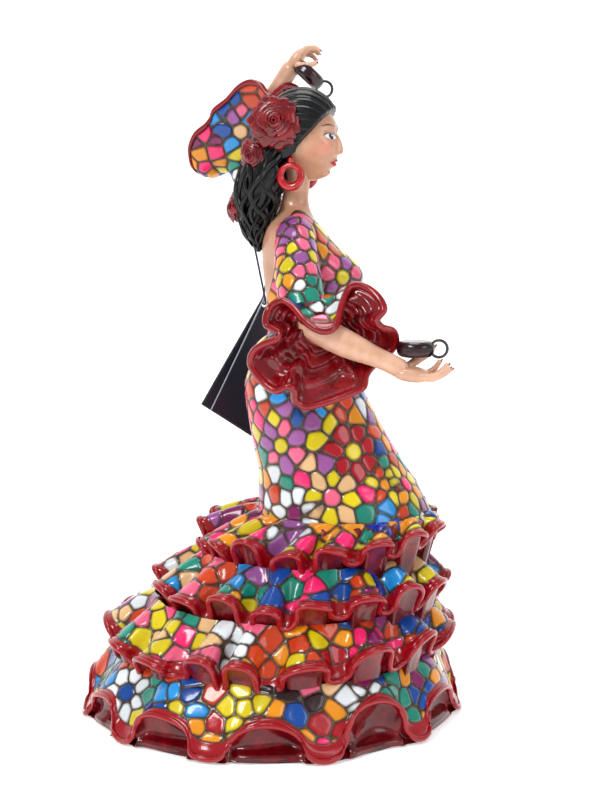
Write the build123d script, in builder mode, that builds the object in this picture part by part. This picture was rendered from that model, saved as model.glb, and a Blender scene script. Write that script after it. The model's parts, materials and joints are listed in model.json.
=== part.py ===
from build123d import *
from math import atan, cos, degrees, pi, radians, sin, tan
import os

os.makedirs("parts", exist_ok=True)

# A resin souvenir figurine of a dancer in a ruffled dress, 284 mm tall, with a swing tag.
# Millimetres. The dancer faces +X, +Z is up, and the origin is under the middle of her stance,
# on the underside of the felt pad. Her right arm reaches out on the -Y side, her left arm is
# raised on the +Y side, and the tag hangs from the left sleeve on a loop of string.

# ---------------------------------------------------------------- driving dimensions
felt_thickness = 0.8
felt_inset = 3.0                  # the pad stops short of the hem all round
stem_radius = 18.0                # the skirt's core runs down through the flounces
stem_x = 8.0

# Flounces from the floor up: height, then the hem and the top of each one.
# An outline is its middle's x, its half length in x, its half depth in y and its wave height.
flounce_heights = [29.2, 22.0, 18.0, 20.0]
hem_outlines = [(-12.5, 82.0, 83.0, 3.0), (-9.0, 76.5, 73.0, 3.0),
                (0.5, 61.0, 62.0, 2.6), (9.0, 52.0, 50.0, 2.4)]
top_outlines = [(-8.0, 66.0, 66.0, 2.0), (-2.0, 56.0, 57.0, 1.8),
                (5.0, 47.0, 46.0, 1.6), (17.5, 37.0, 36.5, 0.8)]
ruffle_counts = [11, 10, 9, 8]

# Skirt above the flounces: share of the way up to the waist, middle's x, half length, half depth.
waist_height = 164.0
skirt_sections = [(0.0, 18.5, 35.5, 35.0), (0.18, 14.5, 31.5, 31.0), (0.41, 7.8, 28.0, 27.5),
                  (0.69, 1.2, 24.0, 25.0), (0.86, 1.8, 19.5, 19.0), (1.0, 3.1, 15.9, 14.5)]

# Torso: rise above the waist, middle's x, half length, half depth.
bodice_sections = [(0.0, 3.1, 15.9, 14.5), (11.0, 4.0, 18.6, 16.5),
                   (21.5, 4.7, 20.6, 18.5), (28.0, 2.5, 19.5, 19.5)]
shoulder_sections = [(28.0, 2.5, 19.5, 19.5), (36.0, -2.0, 15.0, 20.5),
                     (44.0, -4.0, 10.0, 17.0), (50.0, -2.8, 7.0, 9.0)]

neck_radius = 5.6
neck_height = 20.0
neck_x = -2.2
head_half_length = 15.2
head_half_width = 12.4
head_half_height = 18.0
head_rise = 31.0                  # top of the shoulders to the middle of the head
head_x = 1.2
head_turn = -15.0                 # degrees about Z, towards the right hand
hair_thickness = 2.4
hair_back = 2.6                   # the cap of hair sits this far behind the skull's middle
hair_lift = 1.4
fall_sections = [(0.0, -9.5, 12.0, 12.0), (14.0, -17.0, 11.5, 11.0),
                 (30.0, -20.2, 8.0, 8.5), (43.5, -17.6, 1.8, 2.6)]

hairline = [(-7.5, -30.0), (-7.5, -8.0), (2.0, -2.0), (12.5, 11.0), (40.0, 11.0), (40.0, -30.0)]
ear_share = 0.86                  # the head's half width at the ear, of its widest

rose_sizes = [(10.3, 6.0, 10.3), (4.4, 4.6, 6.9), (3.4, 6.0, 6.6)]
rose_places = [(-7.5, -15.5, 6.5), (-19.0, -7.5, -8.5), (-26.6, -2.0, -28.3)]
hoop_radius = 4.6
hoop_wire = 1.35
stud_radius = 1.5
ear_drop = 9.0                    # ear lobe below the middle of the head
ear_x = -2.2

# Right arm, held out to the front on the -Y side. Places are x, y and rise above the waist.
sleeve_radius = 8.2
right_shoulder = (-2.0, -13.0, 39.0)
right_elbow = (1.0, -42.0, 6.5)
right_wrist = (36.0, -49.5, -7.5)
right_palm = (46.0, -50.5, -12.0)
right_fingertip = (59.3, -50.5, -9.6)
right_thumb_tip = (53.2, -50.5, -1.6)
forearm_radii = (6.6, 4.1)
palm_half = (8.6, 4.4, 5.2)
finger_radii = (3.4, 1.0)
thumb_radii = (2.2, 1.1)
right_cuff_depth = 20.0           # along Y, from the collar to the rim of the flounce
right_cuff_set_back = 6.0         # the collar stands this far inward of the elbow
right_cuff_half = (25.5, 22.5)
right_cuff_shift = (7.0, -8.0)
cuff_wave = 3.0
cuff_waves = 7
cuff_wall = 2.8
cuff_collar = 1.6                 # the flounce's collar stands this far out from the sleeve

# Left arm, raised on the +Y side; its sleeve leans out in a vertical plane square to the tag.
left_sleeve_radius = 7.0
sleeve_pivot = (-16.0, 34.0, 55.5)
sleeve_lean = 35.0                # degrees the sleeve climbs outwards
sleeve_reach_in = 24.0            # along the sleeve from the string to its ends
sleeve_reach_out = 22.0
left_wrist = (-4.6, 26.5, 110.5)
left_palm = (0.0, 25.0, 115.5)
left_fingertip = (8.0, 24.0, 119.6)
left_forearm_radii = (5.6, 3.6)
left_palm_half = (6.0, 4.0, 4.0)
left_finger_radii = (2.6, 0.9)
left_cuff_depth = 20.0
left_cuff_set_back = 3.0
left_cuff_half = (25.0, 20.0)
left_cuff_shift = (2.0, 0.0)
left_cuff_lean = 24.0             # degrees the flounce's mouth leans to the back

# Castanets: each hand holds two shells, mouth to mouth, tied with a loop of cord.
shell_radius = 7.6
shell_thickness = 3.2
shell_round = 2.4
right_castanet = (46.2, -46.0, -2.6)
left_castanet = (3.6, 25.5, 108.2)
left_castanet_tilt = 42.0         # degrees about Y
castanet_cord_radius = 0.6
castanet_loop_radius = 3.4

# Swing tag and its string. The loop hangs over the left sleeve.
tag_turn = 28.0                   # degrees the card's plane turns about Z
string_diameter = 0.9
string_clearance = 0.45           # between the string and the sleeve it hangs over
string_drop = 47.5                # middle of the sleeve to the tag's hole
hole_spread = 1.9                 # each strand's distance from the card's mid plane at the hole
knot_spread = 0.75                # the same at the knot on top of the sleeve
knot_reach = 0.8                  # how far each end passes the loop's top
hole_bend = 1.0                   # the string's bend radius through the hole
card_length = 56.0
card_width = 37.0
card_thickness = 1.9
card_hole = 3.4
card_hole_inset = 3.8             # hole's middle from the card's corner, along the diagonal
card_corner_round = 0.6

# ---------------------------------------------------------------- worked out from those
flounce_floors = [felt_thickness + sum(flounce_heights[:k]) for k in range(len(flounce_heights) + 1)]
skirt_floor = flounce_floors[-1]
shoulder_top = waist_height + shoulder_sections[-1][0]
head_middle = Vector(head_x, 0, shoulder_top + head_rise)
head_plane = Plane(head_middle, x_dir=(cos(radians(head_turn)), sin(radians(head_turn)), 0), z_dir=(0, 0, 1))
tag_right = Vector(cos(radians(tag_turn)), sin(radians(tag_turn)), 0)
tag_axis = Vector(-sin(radians(tag_turn)), cos(radians(tag_turn)), 0)


def above_waist(place):
    """The point whose height is given as a rise above the waist."""
    return Vector(place[0], place[1], waist_height + place[2])


def on_head(x, y, z):
    """The point given in the head's own turned frame."""
    return head_plane.from_local_coords(Vector(x, y, z))


def ellipsoid(plane, half_x, half_y, half_z):
    """An ellipsoid on the plane's origin, its half sizes along the plane's axes."""
    ball = Sphere(1, mode=Mode.PRIVATE)
    egg = scale(ball, by=(half_x, half_y, half_z), mode=Mode.PRIVATE)
    return egg.moved(plane.location)


def ruffle_points(half_x, half_y, wave, count, middle_x=0, middle_y=0):
    """The crests and dips of a closed wavy outline round an ellipse."""
    points = []
    for step in range(2 * count):
        angle = pi * step / count
        reach = wave if step % 2 else -wave
        points.append((middle_x + (half_x + reach) * cos(angle), middle_y + (half_y + reach) * sin(angle)))
    return points


def taper(start, end, start_radius, end_radius):
    """A straight tapering limb from one point to another, round at its end."""
    middle = (start + end) / 2
    limb = Cone(start_radius, end_radius, (end - start).length, mode=Mode.PRIVATE)
    tip = Sphere(end_radius, mode=Mode.PRIVATE)
    return Plane(middle, z_dir=end - start).location * limb + Plane(end).location * tip


def finish_part(builder, name):
    """Labels a finished piece and writes it under its own name."""
    builder.part.label = name
    export_step(builder.part, f"parts/{name}.step")


# ---------------------------------------------------------------- felt pad and skirt
hem_x, hem_half_x, hem_half_y, hem_wave = hem_outlines[0]
with BuildPart() as felt_pad:
    with BuildSketch():
        with Locations((hem_x, 0)):
            Ellipse(hem_half_x - hem_wave - felt_inset, hem_half_y - hem_wave - felt_inset)
    extrude(amount=felt_thickness)
finish_part(felt_pad, "felt_pad")

flounce_names = ["hem_flounce", "third_flounce", "second_flounce", "first_flounce"]
for name, floor, height, hem, top, count in zip(flounce_names, flounce_floors, flounce_heights,
                                               hem_outlines, top_outlines, ruffle_counts):
    with BuildPart() as flounce:
        with BuildSketch(Plane((hem[0], 0, floor))):
            with BuildLine():
                Spline(*ruffle_points(hem[1], hem[2], hem[3], count), periodic=True)
            make_face()
        with BuildSketch(Plane((top[0], 0, floor + height))):
            with BuildLine():
                Spline(*ruffle_points(top[1], top[2], top[3], count), periodic=True)
            make_face()
        loft()
        with BuildSketch(Plane((stem_x, 0, floor))):
            Circle(stem_radius)
        extrude(amount=height, mode=Mode.SUBTRACT)
    finish_part(flounce, name)

with BuildPart() as skirt_core:
    for share, middle, half_x, half_y in skirt_sections:
        level = skirt_floor + share * (waist_height - skirt_floor)
        with BuildSketch(Plane((middle, 0, level))):
            Ellipse(half_x, half_y)
    loft()
    with BuildSketch(Plane((stem_x, 0, felt_thickness))):
        Circle(stem_radius)
    extrude(amount=skirt_floor - felt_thickness)
finish_part(skirt_core, "skirt_core")

# ---------------------------------------------------------------- torso, head and hair
with BuildPart() as bodice:
    for rise, middle, half_x, half_y in bodice_sections:
        with BuildSketch(Plane((middle, 0, waist_height + rise))):
            Ellipse(half_x, half_y)
    loft()
finish_part(bodice, "bodice")

with BuildPart() as shoulders:
    for rise, middle, half_x, half_y in shoulder_sections:
        with BuildSketch(Plane((middle, 0, waist_height + rise))):
            Ellipse(half_x, half_y)
    loft()
finish_part(shoulders, "shoulders")

with BuildPart() as head:
    with BuildSketch(Plane((neck_x, 0, shoulder_top))):
        Circle(neck_radius)
    extrude(amount=neck_height)
    add(ellipsoid(head_plane, head_half_length, head_half_width, head_half_height))
finish_part(head, "head")

with BuildPart() as hair:
    cap_plane = Plane(on_head(-hair_back, 0, hair_lift), x_dir=head_plane.x_dir, z_dir=(0, 0, 1))
    add(ellipsoid(cap_plane, head_half_length + hair_thickness, head_half_width + hair_thickness,
                  head_half_height + hair_thickness / 2))
    with BuildSketch(Plane(head_middle, x_dir=head_plane.x_dir, z_dir=-head_plane.y_dir)):
        with BuildLine():
            Polyline(*hairline, close=True)
        make_face()
    extrude(amount=head_half_width * 2, both=True, mode=Mode.SUBTRACT)
    for drop, middle, half_x, half_y in fall_sections:
        fall_place = on_head(middle, 0, -drop)
        with BuildSketch(Plane(fall_place, x_dir=head_plane.x_dir, z_dir=(0, 0, -1))):
            Ellipse(half_x, half_y)
    loft()
    add(head.part, mode=Mode.SUBTRACT)
    add(shoulders.part, mode=Mode.SUBTRACT)
    add(bodice.part, mode=Mode.SUBTRACT)
finish_part(hair, "hair")

rose_names = ["rose_large", "rose_medium", "rose_small"]
roses = []
for name, place, size in zip(rose_names, rose_places, rose_sizes):
    with BuildPart() as rose:
        add(ellipsoid(Plane(on_head(*place), x_dir=head_plane.x_dir, z_dir=(0, 0, 1)), *size))
        add(hair.part, mode=Mode.SUBTRACT)
        add(head.part, mode=Mode.SUBTRACT)
        for earlier in roses:
            add(earlier, mode=Mode.SUBTRACT)
    roses.append(rose.part)
    finish_part(rose, name)

for name, side in (("earring_right", -1), ("earring_left", 1)):
    stud_place = on_head(ear_x, side * (head_half_width * ear_share + stud_radius * 0.4), -ear_drop)
    hoop_place = stud_place - Vector(0, 0, stud_radius + hoop_radius + hoop_wire * 0.5)
    with BuildPart() as earring:
        with Locations(stud_place):
            Sphere(stud_radius)
        with Locations(Location(hoop_place, (90, 0, head_turn))):
            Torus(hoop_radius, hoop_wire)
        add(head.part, mode=Mode.SUBTRACT)
        add(hair.part, mode=Mode.SUBTRACT)
    finish_part(earring, name)

# ---------------------------------------------------------------- right arm
elbow = above_waist(right_elbow)
wrist = above_waist(right_wrist)
shoulder = above_waist(right_shoulder)
with BuildPart() as right_sleeve:
    with BuildSketch(Plane(shoulder, z_dir=elbow - shoulder)):
        Circle(sleeve_radius)
    extrude(amount=(elbow - shoulder).length)
    add(shoulders.part, mode=Mode.SUBTRACT)
    add(bodice.part, mode=Mode.SUBTRACT)
finish_part(right_sleeve, "right_sleeve")

palm = above_waist(right_palm)
with BuildPart() as right_arm:
    add(taper(elbow, wrist, *forearm_radii))
    add(taper(wrist, palm, forearm_radii[1], finger_radii[0]))
    add(ellipsoid(Plane(palm), *palm_half))
    add(taper(palm, above_waist(right_fingertip), *finger_radii))
    add(taper(palm, above_waist(right_thumb_tip), *thumb_radii))
    add(right_sleeve.part, mode=Mode.SUBTRACT)
finish_part(right_arm, "right_arm")

with BuildPart() as right_cuff:
    collar_y = elbow.Y + right_cuff_set_back
    collar_plane = Plane((elbow.X, collar_y, elbow.Z), x_dir=(1, 0, 0), z_dir=(0, -1, 0))
    rim_x = right_cuff_shift[0]
    rim_z = right_cuff_shift[1]
    with BuildSketch(collar_plane):
        Circle(sleeve_radius + cuff_collar)
    with BuildSketch(collar_plane.offset(right_cuff_depth)):
        with BuildLine():
            Spline(*ruffle_points(*right_cuff_half, cuff_wave, cuff_waves, rim_x, rim_z), periodic=True)
        make_face()
    loft()
    with BuildSketch(collar_plane.offset(right_cuff_set_back)):
        Circle(sleeve_radius - cuff_collar)
    with BuildSketch(collar_plane.offset(right_cuff_depth)):
        with BuildLine():
            Spline(*ruffle_points(right_cuff_half[0] - cuff_wall, right_cuff_half[1] - cuff_wall,
                                  cuff_wave, cuff_waves, rim_x, rim_z), periodic=True)
        make_face()
    loft(mode=Mode.SUBTRACT)
    add(right_sleeve.part, mode=Mode.SUBTRACT)
    add(right_arm.part, mode=Mode.SUBTRACT)
finish_part(right_cuff, "right_sleeve_flounce")

# ---------------------------------------------------------------- left arm
pivot = above_waist(sleeve_pivot)
sleeve_direction = tag_axis * cos(radians(sleeve_lean)) + Vector(0, 0, sin(radians(sleeve_lean)))
left_shoulder = pivot - sleeve_direction * sleeve_reach_in
left_elbow = pivot + sleeve_direction * sleeve_reach_out
with BuildPart() as left_sleeve:
    with BuildSketch(Plane(left_shoulder, z_dir=sleeve_direction)):
        Circle(left_sleeve_radius)
    extrude(amount=sleeve_reach_in + sleeve_reach_out)
    with Locations(left_elbow):
        Sphere(left_sleeve_radius)
    add(shoulders.part, mode=Mode.SUBTRACT)
    add(bodice.part, mode=Mode.SUBTRACT)
finish_part(left_sleeve, "left_sleeve")

left_hand_middle = above_waist(left_palm)
with BuildPart() as left_arm:
    add(taper(left_elbow, above_waist(left_wrist), *left_forearm_radii))
    add(taper(above_waist(left_wrist), left_hand_middle, left_forearm_radii[1], left_finger_radii[0]))
    add(ellipsoid(Plane(left_hand_middle), *left_palm_half))
    add(taper(left_hand_middle, above_waist(left_fingertip), *left_finger_radii))
    add(left_sleeve.part, mode=Mode.SUBTRACT)
finish_part(left_arm, "left_arm")

with BuildPart() as left_cuff:
    mouth = Vector(-sin(radians(left_cuff_lean)), 0, cos(radians(left_cuff_lean)))
    across = Vector(cos(radians(left_cuff_lean)), 0, sin(radians(left_cuff_lean)))
    left_collar = Plane(left_elbow - mouth * left_cuff_set_back, x_dir=across, z_dir=mouth)
    rim_x = left_cuff_shift[0]
    rim_y = left_cuff_shift[1]
    with BuildSketch(left_collar):
        Circle(left_sleeve_radius + cuff_collar)
    with BuildSketch(left_collar.offset(left_cuff_depth)):
        with BuildLine():
            Spline(*ruffle_points(*left_cuff_half, cuff_wave, cuff_waves, rim_x, rim_y), periodic=True)
        make_face()
    loft()
    with BuildSketch(left_collar.offset(left_cuff_set_back)):
        Circle(left_sleeve_radius - cuff_collar)
    with BuildSketch(left_collar.offset(left_cuff_depth)):
        with BuildLine():
            Spline(*ruffle_points(left_cuff_half[0] - cuff_wall, left_cuff_half[1] - cuff_wall,
                                  cuff_wave, cuff_waves, rim_x, rim_y), periodic=True)
        make_face()
    loft(mode=Mode.SUBTRACT)
    add(left_sleeve.part, mode=Mode.SUBTRACT)
    add(left_arm.part, mode=Mode.SUBTRACT)
    add(hair.part, mode=Mode.SUBTRACT)
    add(head.part, mode=Mode.SUBTRACT)
finish_part(left_cuff, "left_sleeve_flounce")

# ---------------------------------------------------------------- castanets
tilt = radians(left_castanet_tilt)
pairs = (("right", above_waist(right_castanet), Vector(0, 0, 1), right_arm),
         ("left", above_waist(left_castanet), Vector(sin(tilt), 0, cos(tilt)), left_arm))
for side, middle, facing, arm in pairs:
    shells = []
    for half, way in (("upper", facing), ("lower", -facing)):
        with BuildPart() as shell:
            with BuildSketch(Plane(middle, z_dir=way)):
                Circle(shell_radius)
            extrude(amount=shell_thickness)
            fillet(shell.faces().sort_by(Axis(middle, way))[-1].edges(), radius=shell_round)
            add(arm.part, mode=Mode.SUBTRACT)
        shells.append(shell.part)
        finish_part(shell, f"{side}_castanet_{half}")
    with BuildPart() as castanet_cord:
        loop_way = facing.cross(Vector(0, 1, 0))
        loop_place = middle - loop_way * (shell_radius + castanet_loop_radius / 2)
        with Locations(Plane(loop_place, x_dir=loop_way, z_dir=(0, 1, 0))):
            Torus(castanet_loop_radius, castanet_cord_radius)
        for shell_part in shells:
            add(shell_part, mode=Mode.SUBTRACT)
        add(arm.part, mode=Mode.SUBTRACT)
    finish_part(castanet_cord, f"{side}_castanet_cord")

# ---------------------------------------------------------------- swing tag
hole = pivot - Vector(0, 0, string_drop)
diagonal = atan(card_width / card_length)
along = tag_right * -sin(diagonal) + Vector(0, 0, -cos(diagonal))
card_corner = hole + Vector(0, 0, card_hole_inset)
card_plane = Plane(card_corner, x_dir=along, z_dir=-tag_axis)
card_width_side = 1 if card_plane.y_dir.dot(tag_right) > 0 else -1
with BuildPart() as tag_card:
    with BuildSketch(card_plane):
        with Locations((card_length / 2, card_width_side * card_width / 2)):
            RectangleRounded(card_length, card_width, card_corner_round)
        with Locations(card_plane.to_local_coords(hole)):
            Circle(card_hole / 2, mode=Mode.SUBTRACT)
    extrude(amount=card_thickness / 2, both=True)
finish_part(tag_card, "tag_card")

loop_radius = (left_sleeve_radius / cos(radians(sleeve_lean)) + knot_spread * tan(radians(sleeve_lean))
               + string_clearance + string_diameter)
strand_angle = degrees(atan(loop_radius / string_drop))
half_turn = (90 + strand_angle) / 4
loop_corner = loop_radius / cos(radians(half_turn))


def on_loop(angle, reach, spread):
    """The point at an angle from the loop's top, round towards the back, and off the card's plane."""
    turn = radians(angle)
    flat = tag_right * (-sin(turn) * reach) + Vector(0, 0, cos(turn) * reach)
    return pivot + flat + tag_axis * spread


near_side = [on_loop(half_turn, loop_corner, -knot_spread),
             on_loop(3 * half_turn, loop_corner, -knot_spread)]
far_side = [on_loop(-3 * half_turn, loop_corner, knot_spread),
            on_loop(-half_turn, loop_corner, knot_spread)]
near_end = pivot + Vector(0, 0, loop_radius) + tag_right * knot_reach - tag_axis * knot_spread
far_end = pivot + Vector(0, 0, loop_radius) - tag_right * knot_reach + tag_axis * knot_spread
route = [near_end, *near_side, hole - tag_axis * hole_spread, hole + tag_axis * hole_spread, *far_side, far_end]
bends = []
for before, corner, after in zip(route, route[1:], route[2:]):
    turn = radians((corner - before).get_angle(after - corner))
    shorter = min((corner - before).length, (after - corner).length)
    bends.append(0.45 * shorter / tan(turn / 2))
bends[2] = hole_bend
bends[3] = hole_bend
print("string bend radii", [round(bend, 2) for bend in bends])
with BuildPart() as tag_string:
    with BuildLine() as string_path:
        FilletPolyline(*route, radius=bends)
    with BuildSketch(Plane(string_path.line @ 0, z_dir=string_path.line % 0)):
        Circle(string_diameter / 2)
    sweep()
string_length = sum(edge.length for edge in string_path.edges())
string_section = pi * string_diameter ** 2 / 4
print("string length", round(string_length, 2), "volume", round(tag_string.part.volume, 2),
      "section by length", round(string_section * string_length, 2))
finish_part(tag_string, "tag_string")
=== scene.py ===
import json
import math
import bpy
import numpy as np
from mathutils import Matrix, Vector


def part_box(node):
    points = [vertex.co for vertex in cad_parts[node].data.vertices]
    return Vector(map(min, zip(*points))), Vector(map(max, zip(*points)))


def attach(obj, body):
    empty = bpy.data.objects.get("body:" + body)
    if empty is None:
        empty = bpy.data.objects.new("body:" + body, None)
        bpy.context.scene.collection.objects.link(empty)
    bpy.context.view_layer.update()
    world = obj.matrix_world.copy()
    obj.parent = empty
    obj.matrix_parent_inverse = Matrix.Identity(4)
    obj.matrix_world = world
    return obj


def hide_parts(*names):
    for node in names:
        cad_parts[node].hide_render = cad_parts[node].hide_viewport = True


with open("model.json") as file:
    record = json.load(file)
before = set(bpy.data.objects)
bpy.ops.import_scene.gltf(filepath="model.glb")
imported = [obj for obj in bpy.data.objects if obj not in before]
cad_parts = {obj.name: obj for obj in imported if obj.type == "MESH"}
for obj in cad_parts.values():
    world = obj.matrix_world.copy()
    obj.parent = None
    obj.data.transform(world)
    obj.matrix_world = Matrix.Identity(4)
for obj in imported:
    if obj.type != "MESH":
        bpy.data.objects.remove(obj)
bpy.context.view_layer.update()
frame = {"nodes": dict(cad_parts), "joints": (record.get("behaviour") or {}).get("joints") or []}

MM = 0.001
dice = np.random.default_rng(7)
fineness = 1.0      # share of the full number of mesh rows and columns

# ---------------------------------------------------------------- places read from the frame, in mm


def node_box(node):
    """The lowest and highest corners of a CAD node, in millimetres."""
    low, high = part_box(node)
    return np.array(low) / MM, np.array(high) / MM


def joint_place(name):
    """A joint's pivot in millimetres and its unit axis."""
    for joint in frame["joints"]:
        if joint["name"] == name:
            return np.array(joint["pos_m"]) / MM, np.array(joint["axis"], float)
    raise ValueError(name)


def vec(*numbers):
    """A vector from its numbers."""
    return np.array(numbers, float)


def unit(direction):
    """The direction with a length of one."""
    return direction / np.linalg.norm(direction)


felt_top = node_box("hem_flounce")[0][2]
shoulder_top = node_box("shoulders")[1][2]
pivot, swing_axis = joint_place("string_swing")
tag_hole = joint_place("tag_turn")[0]
tag_right = vec(swing_axis[1], -swing_axis[0], 0)

# ---------------------------------------------------------------- camera
camera_distance = 720.0            # from the figure's axis, in mm
camera_height = 240.0              # above the floor, in mm
camera_pitch = 8.38                # degrees below the horizon
camera_lens = 76.4                 # focal length, in mm

camera = bpy.data.objects.new("camera", bpy.data.cameras.new("camera"))
bpy.context.scene.collection.objects.link(camera)
camera.location = (0, -camera_distance * MM, camera_height * MM)
camera.rotation_euler = (math.radians(90 - camera_pitch), 0, 0)
camera.data.lens = camera_lens
camera.data.sensor_width = 36
camera.data.clip_start = 0.01
bpy.context.scene.camera = camera
bpy.context.scene.view_settings.view_transform = "Standard"

# ---------------------------------------------------------------- node materials


class Value:
    """A shader socket that takes part in Python arithmetic."""

    def __init__(self, sheet, socket):
        self.sheet = sheet
        self.socket = socket

    def _math(self, operation, *others):
        sockets = {0: self}
        sockets.update({place + 1: other for place, other in enumerate(others)})
        return self.sheet.node("ShaderNodeMath", sockets, operation=operation)

    def __add__(self, other):
        return self._math("ADD", other)

    def __mul__(self, other):
        return self._math("MULTIPLY", other)

    def __sub__(self, other):
        return self._math("SUBTRACT", other)

    def __rsub__(self, other):
        return self.sheet.node("ShaderNodeMath", {0: other, 1: self}, operation="SUBTRACT")

    __radd__ = __add__
    __rmul__ = __mul__

    def ramp(self, low, high):
        """0 below low, 1 above high, smooth between."""
        return self.sheet.node("ShaderNodeMapRange", {"Value": self, "From Min": low, "From Max": high},
                               interpolation_type="SMOOTHSTEP")


class Paint:
    """One material: a principled shader and the nodes that feed it."""

    def __init__(self, name, **constants):
        self.material = bpy.data.materials.new(name)
        self.material.use_nodes = True
        self.tree = self.material.node_tree
        self.shader = self.tree.nodes["Principled BSDF"]
        for socket, value in constants.items():
            self.shader.inputs[socket.replace("_", " ")].default_value = value

    def node(self, kind, sockets=None, output=0, **settings):
        """Any node: its settings first, then the values or links of its sockets."""
        made = self.tree.nodes.new(kind)
        for name, value in settings.items():
            setattr(made, name, value)
        for name, value in (sockets or {}).items():
            if isinstance(value, Value):
                self.tree.links.new(value.socket, made.inputs[name])
            else:
                made.inputs[name].default_value = value
        return Value(self, made.outputs[output])

    def attribute(self, name, output="Fac"):
        return self.node("ShaderNodeAttribute", output=output, attribute_name=name)

    def noise(self, scale, detail=3.0, roughness=0.55, stretch=(1, 1, 1)):
        place = self.node("ShaderNodeTexCoord", output="Object")
        place = self.node("ShaderNodeMapping", {"Vector": place, "Scale": stretch})
        return self.node("ShaderNodeTexNoise", {"Vector": place, "Scale": scale, "Detail": detail,
                                                "Roughness": roughness})

    def mix(self, share, first, second):
        """A colour mix; share 0 is the first colour."""
        return self.node("ShaderNodeMix", {0: share, 6: first, 7: second}, output=2, data_type="RGBA")

    def tint(self, colour, share, second, blend):
        return self.node("ShaderNodeMix", {0: share, 6: colour, 7: second}, output=2, data_type="RGBA",
                         blend_type=blend)

    def bump(self, height, distance):
        """A normal from a height; the distance is in mm."""
        return self.node("ShaderNodeBump", {"Height": height, "Distance": distance * MM, "Strength": 1.0})

    def feed(self, **inputs):
        for socket, value in inputs.items():
            self.tree.links.new(value.socket, self.shader.inputs[socket.replace("_", " ")])
        return self.material


def rgb(red, green, blue):
    """A colour given as it looks on a screen, turned to the shader's linear light."""
    linear = [((c + 0.055) / 1.055) ** 2.4 if c > 0.04 else c / 12.92 for c in (red, green, blue)]
    return (*linear, 1.0)


palette = {
    "yellow": rgb(0.84, 0.76, 0.03), "orange": rgb(0.90, 0.56, 0.05), "rust": rgb(0.78, 0.24, 0.08),
    "pink": rgb(0.92, 0.38, 0.52), "hot_pink": rgb(0.97, 0.15, 0.44), "purple": rgb(0.48, 0.08, 0.34),
    "mauve": rgb(0.58, 0.32, 0.58), "red": rgb(0.66, 0.03, 0.10), "cobalt": rgb(0.03, 0.27, 0.60),
    "ultramarine": rgb(0.07, 0.12, 0.58), "sky": rgb(0.12, 0.54, 0.82), "teal": rgb(0.08, 0.52, 0.44),
    "white": rgb(0.87, 0.90, 0.92), "cream": rgb(0.87, 0.70, 0.50), "black": rgb(0.14, 0.03, 0.05),
}
gloss_coat = {"Coat_Weight": 0.5, "Coat_Roughness": 0.06, "Specular_IOR_Level": 0.3}
tile_gap = 0.30                    # half the width of the grout line, in mm


def mosaic_paint():
    """Hand painted tiles in brown grout, with the red lining where the mesh says so, a brighter painted red
    on its lit outer band and painted shade deeper in under the rims.
    """
    paint = Paint("painted_mosaic", **gloss_coat)
    edge = paint.attribute("tile_edge")
    lining = paint.attribute("lining").ramp(0.4, 0.6)
    on_tile = edge.ramp(tile_gap - 0.08, tile_gap + 0.08)
    brush = paint.noise(420, 4, stretch=(1, 1, 2.2))
    colour = paint.attribute("tile_colour", "Color")
    colour = paint.tint(colour, brush.ramp(0.42, 0.8) * 0.20, (0.95, 0.93, 0.9, 1), "SOFT_LIGHT")
    colour = paint.tint(colour, (1 - edge.ramp(tile_gap, tile_gap + 0.75)) * 0.62, rgb(0.25, 0.16, 0.10),
                        "MULTIPLY")
    grain = paint.noise(900, 5)
    grout = paint.mix(grain.ramp(0.35, 0.7), rgb(0.15, 0.10, 0.06), rgb(0.34, 0.25, 0.15))
    colour = paint.mix(on_tile, grout, colour)
    wash = paint.noise(150, 5, 0.6)
    red = paint.mix(wash.ramp(0.38, 0.66), rgb(0.38, 0.01, 0.045), rgb(0.54, 0.015, 0.08))
    # The outer red band and the rolled rim are painted a brighter red than the lining under them: painted
    # light on the side that faces out.
    bead = paint.attribute("bead").ramp(0.2, 0.8)
    red = paint.mix(bead, red, rgb(0.60, 0.015, 0.08))
    # Painted shade: the red darkens deeper in under the rims and inside the cuffs.
    painted_shade = paint.attribute("painted_shade")
    red = paint.tint(red, painted_shade * 0.35, rgb(0.34, 0.12, 0.10), "MULTIPLY")
    colour = paint.mix(lining, colour, red)
    smooth = paint.noise(260, 3)
    rough = 0.42 - 0.24 * on_tile + 0.10 * smooth.ramp(0.4, 0.7)
    rough = rough * (1 - lining) + (0.16 + 0.16 * wash.ramp(0.45, 0.7)) * lining
    height = paint.noise(700, 3) * 0.12 + brush * 0.10 + grain * 0.20 * (1 - on_tile)
    return paint.feed(Base_Color=colour, Roughness=rough, Normal=paint.bump(height, 0.35))


def plain_gloss(name, dark, light, roughness, scale=180, depth=0.25, coat=0.6, shine=0.5):
    """A glossy painted surface with cloudy colour, brush marks, fine unevenness and painted shade in
    recesses.
    """
    paint = Paint(name, Coat_Weight=coat, Coat_Roughness=0.07, Specular_IOR_Level=shine)
    cloud = paint.noise(scale, 4)
    fine = paint.noise(scale * 4, 4)
    colour = paint.mix(cloud.ramp(0.35, 0.68), rgb(*dark), rgb(*light))
    # Painted shade: darker where the mesh marks a recess.
    painted_shade = paint.attribute("painted_shade")
    colour = paint.tint(colour, painted_shade * 0.7, rgb(0.16, 0.06, 0.05), "MULTIPLY")
    rough = roughness + 0.12 * fine.ramp(0.4, 0.75)
    return paint.feed(Base_Color=colour, Roughness=rough,
                      Normal=paint.bump(cloud * 0.6 + fine * 0.25, depth))


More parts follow.
